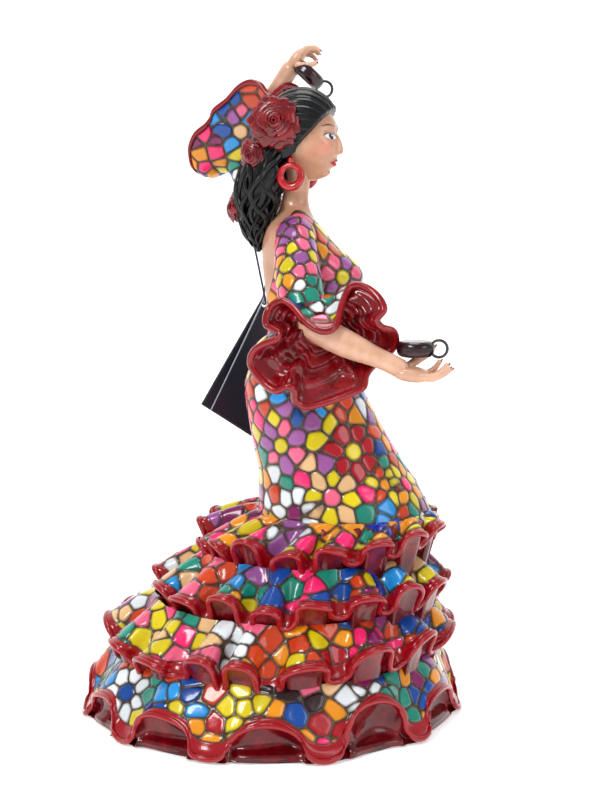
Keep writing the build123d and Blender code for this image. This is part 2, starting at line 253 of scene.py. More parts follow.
def painted_face():
    """Skin with the colours that the head's mesh carries for lips, brows, eyes and cheeks, with a painted
    glint in the eyes and painted shade in the lid folds, between the lips and in the nostrils.
    """
    paint = Paint("painted_face", Coat_Weight=0.45, Coat_Roughness=0.1)
    cloud = paint.noise(160, 4)
    fine = paint.noise(900, 3)
    flesh = paint.mix(cloud.ramp(0.3, 0.75), rgb(0.73, 0.53, 0.41), rgb(0.80, 0.60, 0.48))
    colour = paint.mix(paint.attribute("paint_share"), flesh, paint.attribute("paint_colour", "Color"))
    rough = 0.30 + 0.12 * fine.ramp(0.4, 0.7)
    return paint.feed(Base_Color=colour, Roughness=rough, Normal=paint.bump(cloud * 0.4 + fine * 0.1, 0.05))


def felt_cloth():
    """Dark felt for the pad under the foot."""
    paint = Paint("felt", Sheen_Weight=0.4, Roughness=0.95)
    fibre = paint.noise(2600, 6, 0.7)
    colour = paint.mix(fibre.ramp(0.35, 0.7), rgb(0.10, 0.10, 0.11), rgb(0.22, 0.22, 0.24))
    return paint.feed(Base_Color=colour, Normal=paint.bump(fibre, 0.3))


def card_stock():
    """Coated navy card with a thin silver line, a gold block and paler worn edges."""
    paint = Paint("card", Coat_Weight=0.15, Coat_Roughness=0.3)
    silver = paint.attribute("silver").ramp(0.4, 0.6)
    gold = paint.attribute("gold").ramp(0.4, 0.6)
    wear = paint.attribute("wear")
    fibre = paint.noise(1500, 5, 0.65)
    colour = paint.mix(fibre.ramp(0.35, 0.75), rgb(0.03, 0.055, 0.13), rgb(0.06, 0.095, 0.19))
    colour = paint.mix(wear * 0.5 * fibre.ramp(0.4, 0.6), colour, rgb(0.32, 0.34, 0.40))
    colour = paint.mix(gold, colour, rgb(0.72, 0.52, 0.20))
    colour = paint.mix(silver, colour, rgb(0.62, 0.66, 0.70))
    rough = 0.50 - 0.18 * silver - 0.15 * gold + 0.1 * fibre
    metal = silver * 0.7 + gold * 0.6
    return paint.feed(Base_Color=colour, Roughness=rough, Metallic=metal, Normal=paint.bump(fibre, 0.08))


def string_cotton():
    """Twisted dark waxed cotton."""
    paint = Paint("string", Sheen_Weight=0.2, Roughness=0.7)
    fibre = paint.noise(2200, 4, 0.6)
    colour = paint.mix(fibre.ramp(0.35, 0.7), rgb(0.10, 0.06, 0.20), rgb(0.26, 0.18, 0.38))
    return paint.feed(Base_Color=colour, Normal=paint.bump(fibre, 0.2))


def backdrop_paper():
    """White paper that glows a little."""
    paint = Paint("backdrop", Roughness=0.9)
    paint.shader.inputs["Specular IOR Level"].default_value = 0.1
    paint.shader.inputs["Emission Color"].default_value = (1, 1, 1, 1)
    paint.shader.inputs["Emission Strength"].default_value = 0.42
    cloud = paint.noise(3, 2)
    return paint.feed(Base_Color=paint.mix(cloud, rgb(0.965, 0.965, 0.965), rgb(0.975, 0.975, 0.975)))


mosaic = mosaic_paint()
skin_paint = plain_gloss("painted_skin", (0.80, 0.61, 0.50), (0.88, 0.69, 0.58), 0.28, 120, 0.05, coat=0.35)
back_paint = plain_gloss("painted_back", (0.72, 0.53, 0.42), (0.79, 0.60, 0.49), 0.28, 120, 0.05, coat=0.35)
hair_paint = plain_gloss("painted_hair", (0.012, 0.016, 0.022), (0.03, 0.04, 0.055), 0.32, 240, 0.2,
                         coat=0.32, shine=0.22)
crimson_paint = plain_gloss("painted_crimson", (0.38, 0.01, 0.045), (0.55, 0.012, 0.07), 0.2, 260, 0.2,
                            coat=0.4, shine=0.35)
hoop_paint = plain_gloss("painted_hoop", (0.62, 0.02, 0.07), (0.76, 0.04, 0.11), 0.18, 260, 0.2)
castanet_paint = plain_gloss("painted_castanet", (0.10, 0.02, 0.045), (0.20, 0.05, 0.10), 0.18, 220, 0.3,
                             coat=0.4, shine=0.35)
cord_paint = plain_gloss("painted_cord", (0.10, 0.08, 0.09), (0.20, 0.16, 0.17), 0.35, 500, 0.4)
face_paint = painted_face()
felt = felt_cloth()
card_paint = card_stock()
string_paint = string_cotton()

# ---------------------------------------------------------------- mesh making


def count(number):
    """A number of mesh rows or columns at the present fineness."""
    return max(int(round(number * fineness)), 6)


def curve_through(keys, samples, closed=False):
    """Evenly stepped points on a smooth curve through the keys."""
    keys = np.asarray(keys, float)
    if keys.ndim == 1:
        keys = keys[:, None]
    total = len(keys)
    step = np.linspace(0, total if closed else total - 1, samples, endpoint=not closed)
    first = np.floor(step).astype(int)
    if not closed:
        first = np.clip(first, 0, total - 2)
    part = (step - first)[:, None]
    if closed:
        a, b, c, d = (keys[(first + shift) % total] for shift in (-1, 0, 1, 2))
    else:
        longer = np.vstack([2 * keys[0] - keys[1], keys, 2 * keys[-1] - keys[-2]])
        a, b, c, d = (longer[first + shift] for shift in (0, 1, 2, 3))
    return 0.5 * (2 * b + (c - a) * part + (2 * a - 5 * b + 4 * c - d) * part ** 2
                  + (3 * b - 3 * c + d - a) * part ** 3)


def even_steps(points, samples, closed=False):
    """The same curve with its points spread evenly along its length."""
    line = np.vstack([points, points[:1]]) if closed else points
    run = np.concatenate([[0], np.cumsum(np.linalg.norm(np.diff(line, axis=0), axis=1))])
    at = np.linspace(0, run[-1], samples, endpoint=not closed)
    return np.stack([np.interp(at, run, line[:, axis]) for axis in range(line.shape[1])], axis=1)


def look_up(keys, values, at):
    """Smooth values between keys, by fine sampling of the curve through them."""
    table = curve_through(np.column_stack([keys, values]), 400)
    order = np.argsort(table[:, 0])
    return np.interp(at, table[order, 0], table[order, 1])


def smooth_step(low, high, values):
    """0 at low, 1 at high, smooth between; high may be the smaller number."""
    share = np.clip((values - low) / (high - low), 0, 1)
    return share * share * (3 - 2 * share)


def bell(values, middle, spread):
    """1 at the middle, falling away smoothly on both sides."""
    return np.exp(-((values - middle) / spread) ** 2)


def grid_quads(rows, columns, wrap_rows, wrap_columns):
    """The four corners of each face of a grid of points."""
    i, j = np.meshgrid(np.arange(rows if wrap_rows else rows - 1),
                       np.arange(columns if wrap_columns else columns - 1), indexing="ij")
    ni, nj = (i + 1) % rows, (j + 1) % columns
    return np.stack([i * columns + j, i * columns + nj, ni * columns + nj, ni * columns + j],
                    axis=-1).reshape(-1, 4)


def grid_normals(grid, wrap_rows, wrap_columns):
    """A unit normal at each point of a grid."""
    def slope(axis, wrap):
        if wrap:
            return np.roll(grid, -1, axis) - np.roll(grid, 1, axis)
        return np.gradient(grid, axis=axis)
    normal = np.cross(slope(1, wrap_columns), slope(0, wrap_rows))
    return normal / np.maximum(np.linalg.norm(normal, axis=-1, keepdims=True), 1e-9)


def make_piece(name, points, polygons, material, attributes=None, body="root"):
    """A mesh object from points in mm and polygons, with its attributes and material, riding on a body."""
    mesh = bpy.data.meshes.new(name)
    sizes = np.array([len(p) for p in polygons])
    corners = np.concatenate([np.asarray(p).ravel() for p in polygons]).astype(np.int32)
    mesh.vertices.add(len(points))
    mesh.vertices.foreach_set("co", (np.asarray(points) * MM).astype(np.float32).ravel())
    mesh.loops.add(len(corners))
    mesh.loops.foreach_set("vertex_index", corners)
    mesh.polygons.add(len(sizes))
    mesh.polygons.foreach_set("loop_start", np.concatenate([[0], np.cumsum(sizes)[:-1]]).astype(np.int32))
    mesh.polygons.foreach_set("loop_total", sizes.astype(np.int32))
    mesh.polygons.foreach_set("use_smooth", np.full(len(sizes), True))
    mesh.update(calc_edges=True)
    for key, values in (attributes or {}).items():
        values = np.asarray(values, np.float32)
        if values.ndim == 1:
            mesh.attributes.new(key, "FLOAT", "POINT").data.foreach_set("value", values)
        else:
            four = np.column_stack([values[:, :3], np.ones(len(values), np.float32)]).astype(np.float32)
            mesh.attributes.new(key, "FLOAT_COLOR", "POINT").data.foreach_set("color", four.ravel())
    mesh.materials.append(material)
    piece = bpy.data.objects.new(name, mesh)
    bpy.context.scene.collection.objects.link(piece)
    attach(piece, body)
    return piece


def shell_piece(name, grid, material, wrap_rows=False, wrap_columns=True, caps=False, attributes=None):
    """A piece from a grid of points. caps closes the first and last rows."""
    rows, columns = grid.shape[:2]
    quads = grid_quads(rows, columns, wrap_rows, wrap_columns)
    polygons = list(quads)
    if caps:
        polygons.append(np.arange(columns)[::-1])
        polygons.append(np.arange(columns) + (rows - 1) * columns)
    points = grid.reshape(-1, 3)
    a, b, c = points[quads[:, 0]], points[quads[:, 1]], points[quads[:, 2]]
    d = points[quads[:, 3]]
    volume = np.einsum("ij,ij->i", a, np.cross(b, c)).sum() + np.einsum("ij,ij->i", a, np.cross(c, d)).sum()
    if volume < 0:
        polygons = [p[::-1] for p in polygons]
    flat = {key: np.asarray(values).reshape(rows * columns, -1).squeeze()
            for key, values in (attributes or {}).items()}
    return make_piece(name, points, polygons, material, flat)


def stands_for(piece, slot, *nodes):
    """Hides the CAD nodes that a piece takes the place of. The slot is not used."""
    if nodes:
        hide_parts(*nodes)
    return piece


def joined(name, parts, material, body="root"):
    """One piece from several (points, polygons, attributes) lots."""
    points, polygons, attributes, start = [], [], {}, 0
    for lot_points, lot_polygons, lot_attributes in parts:
        points.append(lot_points)
        polygons.extend([np.asarray(p) + start for p in lot_polygons])
        for key, values in lot_attributes.items():
            attributes.setdefault(key, []).append(np.asarray(values))
        start += len(lot_points)
    return make_piece(name, np.vstack(points), polygons, material,
                      {key: np.concatenate(values) for key, values in attributes.items()}, body)


def tube_lot(path, radii, sides=12, flatten=1.0, side_way=None, attributes=None, ripple=0.0):
    """A round or flattened tube along a path of points, closed at both ends by small domes."""
    path = np.asarray(path, float)
    radii = np.broadcast_to(np.asarray(radii, float), len(path)).copy()
    way = np.gradient(path, axis=0)
    way /= np.linalg.norm(way, axis=1, keepdims=True)
    side = np.empty_like(path)
    start = side_way if side_way is not None else (vec(0, 0, 1) if abs(way[0][2]) < 0.9 else vec(0, 1, 0))
    for k in range(len(path)):
        start = start - way[k] * np.dot(start, way[k])
        start = unit(start)
        side[k] = start
    up = np.cross(way, side)
    rings, ring_radii = [], []
    for turn in np.radians([15, 40, 65]):
        rings.append(path[0] - way[0] * radii[0] * math.cos(turn) * 0.8)
        ring_radii.append(radii[0] * math.sin(turn))
    ends = len(rings)
    path_all = np.vstack([rings, path, [path[-1] + way[-1] * radii[-1] * math.cos(t) * 0.8
                                        for t in np.radians([65, 40, 15])]])
    radii_all = np.concatenate([ring_radii, radii, [radii[-1]
                                                    * math.sin(t) for t in np.radians([65, 40, 15])]])
    side_all = np.vstack([np.repeat(side[:1], ends, 0), side, np.repeat(side[-1:], ends, 0)])
    up_all = np.vstack([np.repeat(up[:1], ends, 0), up, np.repeat(up[-1:], ends, 0)])
    turn = np.linspace(0, 2 * math.pi, sides, endpoint=False)
    wide = radii_all[:, None] * (1 + ripple * np.cos(6 * turn)[None])
    grid = (path_all[:, None] + wide[..., None] * (np.cos(turn)[None, :, None] * side_all[:, None]
            + np.sin(turn)[None, :, None] * up_all[:, None] * flatten))
    quads = list(grid_quads(len(path_all), sides, False, True)[:, ::-1])
    quads.append(np.arange(sides))
    quads.append((np.arange(sides) + (len(path_all) - 1) * sides)[::-1])
    points = grid.reshape(-1, 3)
    return points, quads, {key: np.repeat(values, len(points)) for key,
                           values in (attributes or {}).items()}


# ---------------------------------------------------------------- tiles

points_at_once = 8000              # keeps the tables in memory small


class Tiles:
    """The tiles laid on a surface: their middles, sizes, lengthwise ways and colours."""

    def __init__(self):
        self.middle, self.reach, self.along, self.stretch = [], [], [], []
        self.colour, self.limit = [], []

    def lay(self, middle, reach, colour, along=(0, 0, 1), stretch=1.0, limit=99.0):
        self.middle.append(np.asarray(middle, float))
        self.reach.append(reach)
        self.along.append(unit(np.asarray(along, float)))
        self.stretch.append(stretch)
        shade = np.array(palette[colour][:3]) * dice.uniform(0.86, 1.12)
        self.colour.append(np.clip(shade, 0, 1))
        self.limit.append(limit)

    def flower(self, points, normals, middle, heart, petals, petal_count=7, size=1.0):
        """A round tile with a ring of petals, on the surface near the given place."""
        near = np.argmin(np.linalg.norm(points - middle, axis=1))
        centre, normal = points[near], normals[near]
        self.lay(centre, 3.5 * size, heart, limit=4.1 * size)
        first = unit(np.cross(normal, vec(0.1, 0.2, 1)))
        second = np.cross(normal, first)
        for k in range(petal_count):
            turn = 2 * math.pi * (k + dice.uniform(-0.06, 0.06)) / petal_count
            out = first * math.cos(turn) + second * math.sin(turn)
            place = centre + out * 9.0 * size * dice.uniform(0.96, 1.05)
            place = points[np.argmin(np.linalg.norm(points - place, axis=1))]
            self.lay(place, 3.1 * size, petals[k % len(petals)], out, 1.45, limit=4.0 * size)

    def fill(self, points, size, pick):
        """Scatters more tiles over the points until no bare patch is left."""
        size_low, size_high = size
        bare = np.ones(len(points), bool)
        for middle, reach in zip(self.middle, self.reach):
            bare &= np.linalg.norm(points - middle, axis=1) > reach + size_low * 0.72
        while bare.any():
            choice = dice.choice(np.flatnonzero(bare))
            reach = dice.uniform(size_low, size_high)
            way = vec(*dice.normal(size=3)) * vec(1, 1, 0.5)
            self.lay(points[choice], reach, pick(points[choice]), way, dice.uniform(1.0, 1.35))
            bare &= np.linalg.norm(points - points[choice], axis=1) > (reach + size_low) * 0.92

    def field(self, points):
        """For each point, the distance to its tile's edge in mm and the tile's colour."""
        middle, along = np.array(self.middle), np.array(self.along)
        reach, stretch = np.array(self.reach), np.array(self.stretch)
        limit, colour = np.array(self.limit), np.array(self.colour)
        edge, shade = np.empty(len(points)), np.empty((len(points), 3))
        softness = 2.2                 # the higher, the sharper the corners between tiles
        for start in range(0, len(points), points_at_once):
            offset = points[start:start + points_at_once, None] - middle[None]
            length2 = np.einsum("ijk,ijk->ij", offset, offset)
            run = np.einsum("ijk,jk->ij", offset, along)
            gap = np.sqrt(np.maximum(length2 - (1 - 1 / stretch ** 2) * run ** 2, 0)) - reach
            nearest = np.argmin(gap, axis=1)
            rows = np.arange(len(gap))
            own = gap[rows, nearest].copy()
            gap[rows, nearest] = 1e3
            closest = gap.min(axis=1)
            others = closest - np.log(np.exp(-softness * (gap - closest[:, None])).sum(axis=1)) / softness
            edge[start:start + points_at_once] = np.minimum((others - own) / 2,
                                                            limit[nearest] - reach[nearest] - own)
            shade[start:start + points_at_once] = colour[nearest]
        return edge, shade


tile_rise = 0.5                    # how far a tile stands out of its grout, in mm
tile_round = 1.2                   # width of a tile's rounded shoulder


def tile_lift(edge):
    """How far the surface stands out at this distance from a tile's edge."""
    inside = np.clip((edge - tile_gap * 0.6) / tile_round, 0, 1)
    return tile_rise * np.sqrt(1 - (1 - inside) ** 2)


def roll_out(margin, band, height):
    """How far a rim's plain red band swells out, between the last tiles and the rim."""
    return height * np.sin(math.pi * np.clip(margin / band, 0, 1))


def zone_picker(zones, base):
    """Returns a colour chooser: the nearest zone's colours are the likeliest near that zone."""
    def pick(point):
        names = list(base)
        for place, reach, colours in zones:
            if np.linalg.norm(point - np.asarray(place, float)) < reach:
                names = list(colours)
                break
        return names[dice.integers(len(names))]
    return pick

# ---------------------------------------------------------------- flounces


def ring(outline, azimuth):
    """Points' x and y on an outline (middle's x, half length, half depth) at azimuths in radians."""
    middle, half_x, half_y = outline
    return np.stack([middle + half_x * np.cos(azimuth), half_y * np.sin(azimuth)], axis=-1)


def wave_line(folds, columns, swell, lean):
    """Azimuth, height and push of a ruffled rim. folds lists arches (azimuth in degrees, rim height,
    push outwards, and the height of the valley after it), in order round the figure."""
    folds = sorted(folds)
    keys = []
    for k, (azimuth, arch, push, valley) in enumerate(folds):
        following = folds[(k + 1) % len(folds)][0] + (360 if k == len(folds) - 1 else 0)
        keys.append((azimuth, arch, push, 1.0))
        keys.append(((azimuth + following) / 2, valley, -push, 0.0))
    keys = np.array(keys)
    total = len(keys)
    step = np.linspace(0, total, columns, endpoint=False)
    base = np.floor(step).astype(int)
    part = step - base
    azimuth_keys = np.append(keys[:, 0], keys[0, 0] + 360)
    azimuth = azimuth_keys[base] * (1 - part) + azimuth_keys[base + 1] * part
    gap = azimuth_keys[base + 1] - azimuth_keys[base]
    ease = (1 - np.cos(math.pi * part)) / 2
    after = keys[(base + 1) % total]
    height = keys[base, 1] * (1 - ease) + after[:, 1] * ease
    push = keys[base, 2] * (1 - ease) + after[:, 2] * ease
    phase = math.pi * step
    offset = gap * (swell * np.sin(2 * phase) + lean * np.sin(phase)) / math.pi
    arch_share = (1 + np.cos(phase)) / 2
    return np.radians(azimuth), np.radians(offset), height, push, arch_share


def even_folds(first, last, number, arch, valley, push, wobble):
    """Evenly set folds between two azimuths, each a little different."""
    folds = []
    for azimuth in np.linspace(first, last, number):
        folds.append((azimuth + dice.uniform(-2.5, 2.5), arch + dice.uniform(-wobble, wobble),
                      push * dice.uniform(0.8, 1.2), valley + dice.uniform(-wobble, wobble) * 0.5))
    return folds


fold_lean = 0.42                   # how far the folds lean along the rim
flounce_bead = 1.3                 # radius of a flounce's rolled rim, in mm
flounce_swell = 0.6                # how far the plain red band swells out, in mm
flounce_tiles = (3.4, 5.0)         # smallest and largest reach of a scattered tile, in mm
sampled_on_flounce = 16000         # points tried when the tiles are scattered


def flounce(name, node, top, top_level, rim, folds, tile_job, grid_size, foot_level, flare=1.6, drop=1.0,
            swell=0.47, floor_level=None, inner_reach=6.0):
    """One tier: mosaic outside, a rolled red rim, and a red lining that runs back under it."""
    columns, rows = count(grid_size[0]), count(grid_size[1])
    azimuth, offset, height, push, arch = wave_line(folds, columns, swell, fold_lean)
    waver = np.sin(azimuth * 19 + 2.0 * np.sin(azimuth * 4)) + 0.6 * np.sin(azimuth * 31 + 1.0)
    height = height + 0.75 * waver * np.clip((height - foot_level) / 10, 0, 1)
    push = push + 0.55 * np.sin(azimuth * 27 + 1.6 * np.sin(azimuth * 7))
    t = np.linspace(0, 1, rows)[:, None]
    grow = t ** flare
    turned = azimuth[None] + offset[None] * t ** 2
    top_now = ring(top, turned)
    rim_now = ring(rim, turned)
    outward = np.stack([np.cos(turned), np.sin(turned)], axis=-1)
    xy = top_now * (1 - grow[..., None]) + rim_now * grow[..., None]
    xy = xy + outward * (push[None] * t ** 1.5)[..., None]
    level = top_level + (height[None] - top_level) * t ** drop
    level = level + arch[None] * np.sin(math.pi * t) * 1.6
    outer = np.concatenate([xy, level[..., None]], axis=-1)
    normal = grid_normals(outer, False, True)
    facing = np.einsum("ijk,ijk->ij", normal[..., :2], outward)
    if facing.mean() < 0:
        normal = -normal
    tiles = Tiles()
    flat_points = outer.reshape(-1, 3)
    pick = tile_job(tiles, flat_points, normal.reshape(-1, 3))
    sample = flat_points[dice.permutation(len(flat_points))[:sampled_on_flounce]]
    tiles.fill(sample, flounce_tiles, pick)
    edge, shade = tiles.field(flat_points)
    margin = np.linalg.norm(outer - outer[-1:], axis=-1)
    band = 3.4 + 3.6 * (1 - arch[None])
    edge = np.minimum(edge.reshape(rows, columns), margin - band)
    shade = shade.reshape(rows, columns, 3)
    lifted = outer + normal * (tile_lift(edge) + roll_out(margin, band, flounce_swell))[..., None]

    rim_line = outer[-1]
    rim_out = normal[-1]
    down_way = outer[-1] - outer[-3]
    down_way = down_way / np.linalg.norm(down_way, axis=-1, keepdims=True)
    turn = np.radians(np.linspace(-60, 210, 11))[:, None, None]
    roll = (rim_line[None] - down_way[None] * flounce_bead * 0.3
            + flounce_bead * (np.cos(turn) * rim_out[None] + np.sin(turn) * down_way[None]))
    start = roll[-1]
    lining_rows = max(rows // 2, 14)
    u = np.linspace(0, 1, lining_rows + 1)[1:, None]
    rim_ways = outward[-1]
    if floor_level is None:
        inwards = inner_reach * (1 - (1 - u) ** 2.2)
        fall = u ** 1.15
        foot = foot_level
    else:
        inwards = inner_reach * np.sin(math.pi * u) ** 0.8 - 0.8 * u
        fall = u ** 0.9
        foot = floor_level
    lining_z = start[None, :, 2] + (foot - start[None, :, 2]) * fall
    if floor_level is not None:
        inwards = inwards - 2.8 * bell(lining_z, foot + 2.2, 1.9) * arch[None]
    lining_xy = start[None, :, :2] - rim_ways[None] * inwards[..., None]
    fold = np.sin(azimuth * len(folds) * 1.5 + 1.6 * np.sin(azimuth
                                                            * 5)) + 0.5 * np.sin(azimuth * len(folds) * 3.1)
    fold = fold[None] * np.sin(math.pi * u) * 0.95
    lining = np.concatenate([lining_xy + outward[-1][None] * fold[..., None], lining_z[..., None]], axis=-1)
    closing = (outer[0] - normal[0] * 3.5)[None]
    if floor_level is not None:
        hidden = ring((rim[0], rim[1] * 0.6, rim[2] * 0.6), azimuth)
        closing = np.concatenate([hidden, np.full((columns, 1), floor_level)], axis=-1)[None]
    grid = np.concatenate([lifted, roll, lining, closing], axis=0)
    grid[..., 2] = np.maximum(grid[..., 2], 0.1)
    flat = np.zeros(grid.shape[:2])
    edge_all = flat - 1
    edge_all[:rows] = edge
    lining_mask = flat + 1
    lining_mask[:rows] = smooth_step(0.25, -0.25, margin - band)
    # The outer band and the roll get the brighter red, a painted light; the lining gets painted shade that
    # deepens towards the back under the tier.
    lit_rim_mask = flat.copy()
    lit_rim_mask[:rows] = 1
    lit_rim_mask[rows:rows + len(roll)] = 1
    painted_shade = flat.copy()
    painted_shade[rows + len(roll):rows + len(roll) + lining_rows] = u ** 0.8
    shade_all = np.zeros(grid.shape) + 0.3
    shade_all[:rows] = shade
    piece = shell_piece(name, grid, mosaic, wrap_rows=True, attributes={
        "tile_edge": edge_all, "tile_colour": shade_all, "lining": lining_mask,
        "bead": lit_rim_mask, "painted_shade": painted_shade})
    return stands_for(piece, "painted_mosaic", node)


mixed = ("pink", "yellow", "orange", "teal", "cobalt", "sky", "rust", "cream", "hot_pink", "mauve", "white",
         "purple")


def hem_tiles(tiles, points, normals):
    tiles.flower(points, normals, vec(-76, -52, 24), "cobalt", ("white",), 7, 1.05)
    tiles.flower(points, normals, vec(-16.5, -78, 16), "red", ("yellow", "yellow", "orange"), 8, 1.1)
    tiles.flower(points, normals, vec(48, -60, 19), "orange", ("teal",), 7, 1.05)
    tiles.flower(points, normals, vec(29, -70, 22), "sky", ("white",), 6, 0.9)
    tiles.flower(points, normals, vec(-50, -66, 19), "yellow", ("cobalt", "sky"), 6, 1.0)
    for place in ((-90, 20, 15), (-60, 60, 18), (-12, 78, 18), (40, 66, 18), (66, 0, 18)):
        pair = (("white",), ("yellow", "orange"), ("teal",), ("pink", "hot_pink"))[dice.integers(4)]
        tiles.flower(points, normals, vec(*place), "rust", pair, 7, 1.1)
    return zone_picker([((-72, -50, 12), 30, ("cobalt", "ultramarine", "sky", "teal", "cobalt", "yellow",
                                              "rust")),
                        ((-22, -80, 10), 30, ("rust", "orange", "yellow", "black", "red", "cobalt")),
                        ((10, -80, 12), 20, ("hot_pink", "red", "black", "orange")),
                        ((52, -62, 12), 34, ("teal", "cobalt", "sky", "purple", "orange", "rust"))], mixed)


def third_tiles(tiles, points, normals):
    tiles.flower(points, normals, vec(-23.6, -64, 39), "rust", ("white",), 8, 1.1)
    tiles.flower(points, normals, vec(26, -66, 42), "cream", ("hot_pink", "purple"), 7, 1.05)
    tiles.flower(points, normals, vec(-64, -38, 40), "yellow", ("cream", "yellow"), 6, 1.0)
    for place in ((-70, 30, 38), (-30, 64, 40), (26, 62, 40), (60, 10, 40)):
        pair = (("cobalt", "sky"), ("pink",), ("white",))[dice.integers(3)]
        tiles.flower(points, normals, vec(*place), "yellow", pair, 7, 1.0)
    return zone_picker([((-60, -45, 40), 26, ("cobalt", "teal", "cream", "yellow", "pink", "hot_pink")),
                        ((0, -72, 40), 26, ("rust", "orange", "red", "rust", "yellow")),
                        ((44, -56, 42), 30, ("hot_pink", "purple", "cobalt", "rust", "cream"))], mixed)


def second_tiles(tiles, points, normals):
    tiles.flower(points, normals, vec(28, -54, 62), "purple", ("rust", "yellow"), 7, 0.95)
    tiles.flower(points, normals, vec(-24, -56, 63), "orange", ("teal", "teal", "sky"), 7, 0.95)
    for place in ((-50, 26, 60), (0, 58, 62), (44, 20, 62)):
        pair = (("pink",), ("white",), ("orange", "cream"))[dice.integers(3)]
        tiles.flower(points, normals, vec(*place), "yellow", pair, 7, 0.95)
    return zone_picker([((-46, -36, 60), 26, ("teal", "sky", "cream", "rust", "cobalt", "pink")),
                        ((0, -60, 62), 20, ("teal", "cobalt", "orange", "hot_pink")),
                        ((44, -40, 62), 30, ("cobalt", "ultramarine", "cream", "yellow", "sky"))], mixed)


def first_tiles(tiles, points, normals):
    for place in ((-12, -37, 84), (-5.5, -39, 83), (1.5, -39, 84)):
        tiles.lay(points[np.argmin(np.linalg.norm(points - vec(*place), axis=1))], 3.2, "white", limit=4.0)
    return zone_picker([((-26, -34, 84), 26, ("pink", "yellow", "orange", "hot_pink", "mauve")),
                        ((10, -46, 84), 24, ("teal", "rust", "mauve", "yellow", "orange", "hot_pink")),
                        ((44, -24, 84), 34, ("teal", "cobalt", "ultramarine", "orange", "yellow"))], mixed)


def set_folds(azimuths, arches, valleys, pushes):
    """Folds whose places and sizes are given one by one."""
    return list(zip(azimuths, arches, pushes, valleys))


flounce("hem_flounce_ruffle", "hem_flounce", (-9, 67, 67), 28.5, (-12.5, 80, 80),
        set_folds((-153, -124, -91, -56, -25), (13, 14, 14.5, 20, 15),
                  (felt_top, 1.5, 1.2, 1.8, felt_top), (-1.6, -1.8, -2.0, -2.0, -1.6))
        + even_folds(12, 176, 6, 15, 1.6, -1.6, 2.5), hem_tiles, (900, 60), felt_top,
        flare=1.15, drop=1.25, floor_level=felt_top, swell=0.40, inner_reach=3.2)
flounce("third_flounce_ruffle", "third_flounce", (-5, 58, 57), 50.5, (-8.5, 73.5, 71),
        set_folds((-158, -137, -114, -104, -82, -59, -36, -14), (35, 34, 38.5, 36.5, 37.5, 41, 42.5, 38),
                  (25, 27, 26, 24.5, 29, 30, 30.5, 28), (3.2, 3.4, 2.6, 2.6, 3.4, 3.4, 3.2, 3.0))
        + even_folds(12, 178, 8, 37, 26, 3.2, 3), third_tiles, (900, 56), 17, flare=1.5, drop=1.3)
flounce("second_flounce_ruffle", "second_flounce", (4, 46, 45.5), 70.5, (0.5, 61, 61),
        set_folds((-165, -143, -121, -104, -86, -64, -44, -22), (57, 57, 60.5, 56, 60.5, 62, 63.5, 60),
                  (47, 47.5, 48.5, 50, 53, 52, 49.5, 48), (3.0, 3.4, 3.2, 2.0, 3.2, 3.4, 3.4, 3.0))
        + even_folds(6, 172, 9, 58, 48, 3.2, 2.5), second_tiles, (880, 56), 38, flare=1.6, drop=1.35)
flounce("first_flounce_ruffle", "first_flounce", (18.9, 37.3, 36.6), 87.2, (9, 51, 49),
        set_folds((-168, -148, -128, -107, -87, -64, -42, -18), (74, 77, 80.5, 77, 80, 82, 84, 84),
                  (66, 67, 67.5, 69.5, 72, 73.5, 74, 75), (2.6, 3.0, 3.2, 2.4, 3.2, 3.4, 3.2, 2.8))
        + even_folds(6, 170, 9, 80, 70, 3.0, 2.0), first_tiles, (860, 52), 59, flare=1.7, drop=1.5)

# ---------------------------------------------------------------- dress above the flounces

gown_foot = 84                     # height of the gown's lower edge, in mm
sampled_on_gown = 26000            # points tried when the tiles are scattered
gown_keys = np.array([(84, 19.3, 37.5, 36.5), (90, 18.5, 35.5, 35), (97, 16.8, 34, 33),
                      (103.5, 14.5, 31.5, 31),
                      (120.5, 7.8, 28, 27.5), (141, 1.2, 24, 25), (153.6, 1.8, 19.5, 19),
                      (164, 3.1, 15.9, 14.5),
                      (175, 4.0, 18.6, 16.5), (185.5, 4.7, 20.6, 18.5), (192, 3.2, 19.8, 19.3),
                      (200, -1.0, 15.6, 20.5),
                      (208, -3.2, 11.4, 17.6), (214, -2.6, 8.0, 11.0), (219, -2.2, 6.4, 6.4)])
columns, rows = count(430), count(205)
turns = np.linspace(0, 2 * math.pi, columns, endpoint=False)
neckline = look_up(np.array([-180, -158, -138, -118, -95, -60, -30, 0, 30, 60, 95, 118, 138, 158, 180.]),
                   np.array([174, 177, 188, 203, 214, 214.5, 211, 209.5, 211, 214.5, 214, 203, 188, 177,
                             174.]),
                   np.degrees(np.where(turns > math.pi, turns - 2 * math.pi, turns)))
share = np.linspace(0, 1, rows)[:, None]
levels = gown_foot + (neckline[None] - gown_foot) * share


def gown_at(levels, turns, grow=0.0):
    """Points on the body's surface at these heights and azimuths."""
    middle, half_x, half_y = (look_up(gown_keys[:, 0], gown_keys[:, k],
                                      levels.ravel()).reshape(levels.shape)
                              for k in (1, 2, 3))
    bust = 2.6 * bell(levels, 187, 8) * (bell(np.degrees(turns) % 360, 27, 20)
                                         + bell(np.degrees(turns) % 360, 333, 20))
    blade = -0.9 * bell(levels, 195, 18) * bell(np.degrees(turns) % 360, 180, 12)
    fat = grow + bust + blade
    return np.stack([middle + (half_x + fat) * np.cos(turns), (half_y + fat) * np.sin(turns), levels],
                    axis=-1)


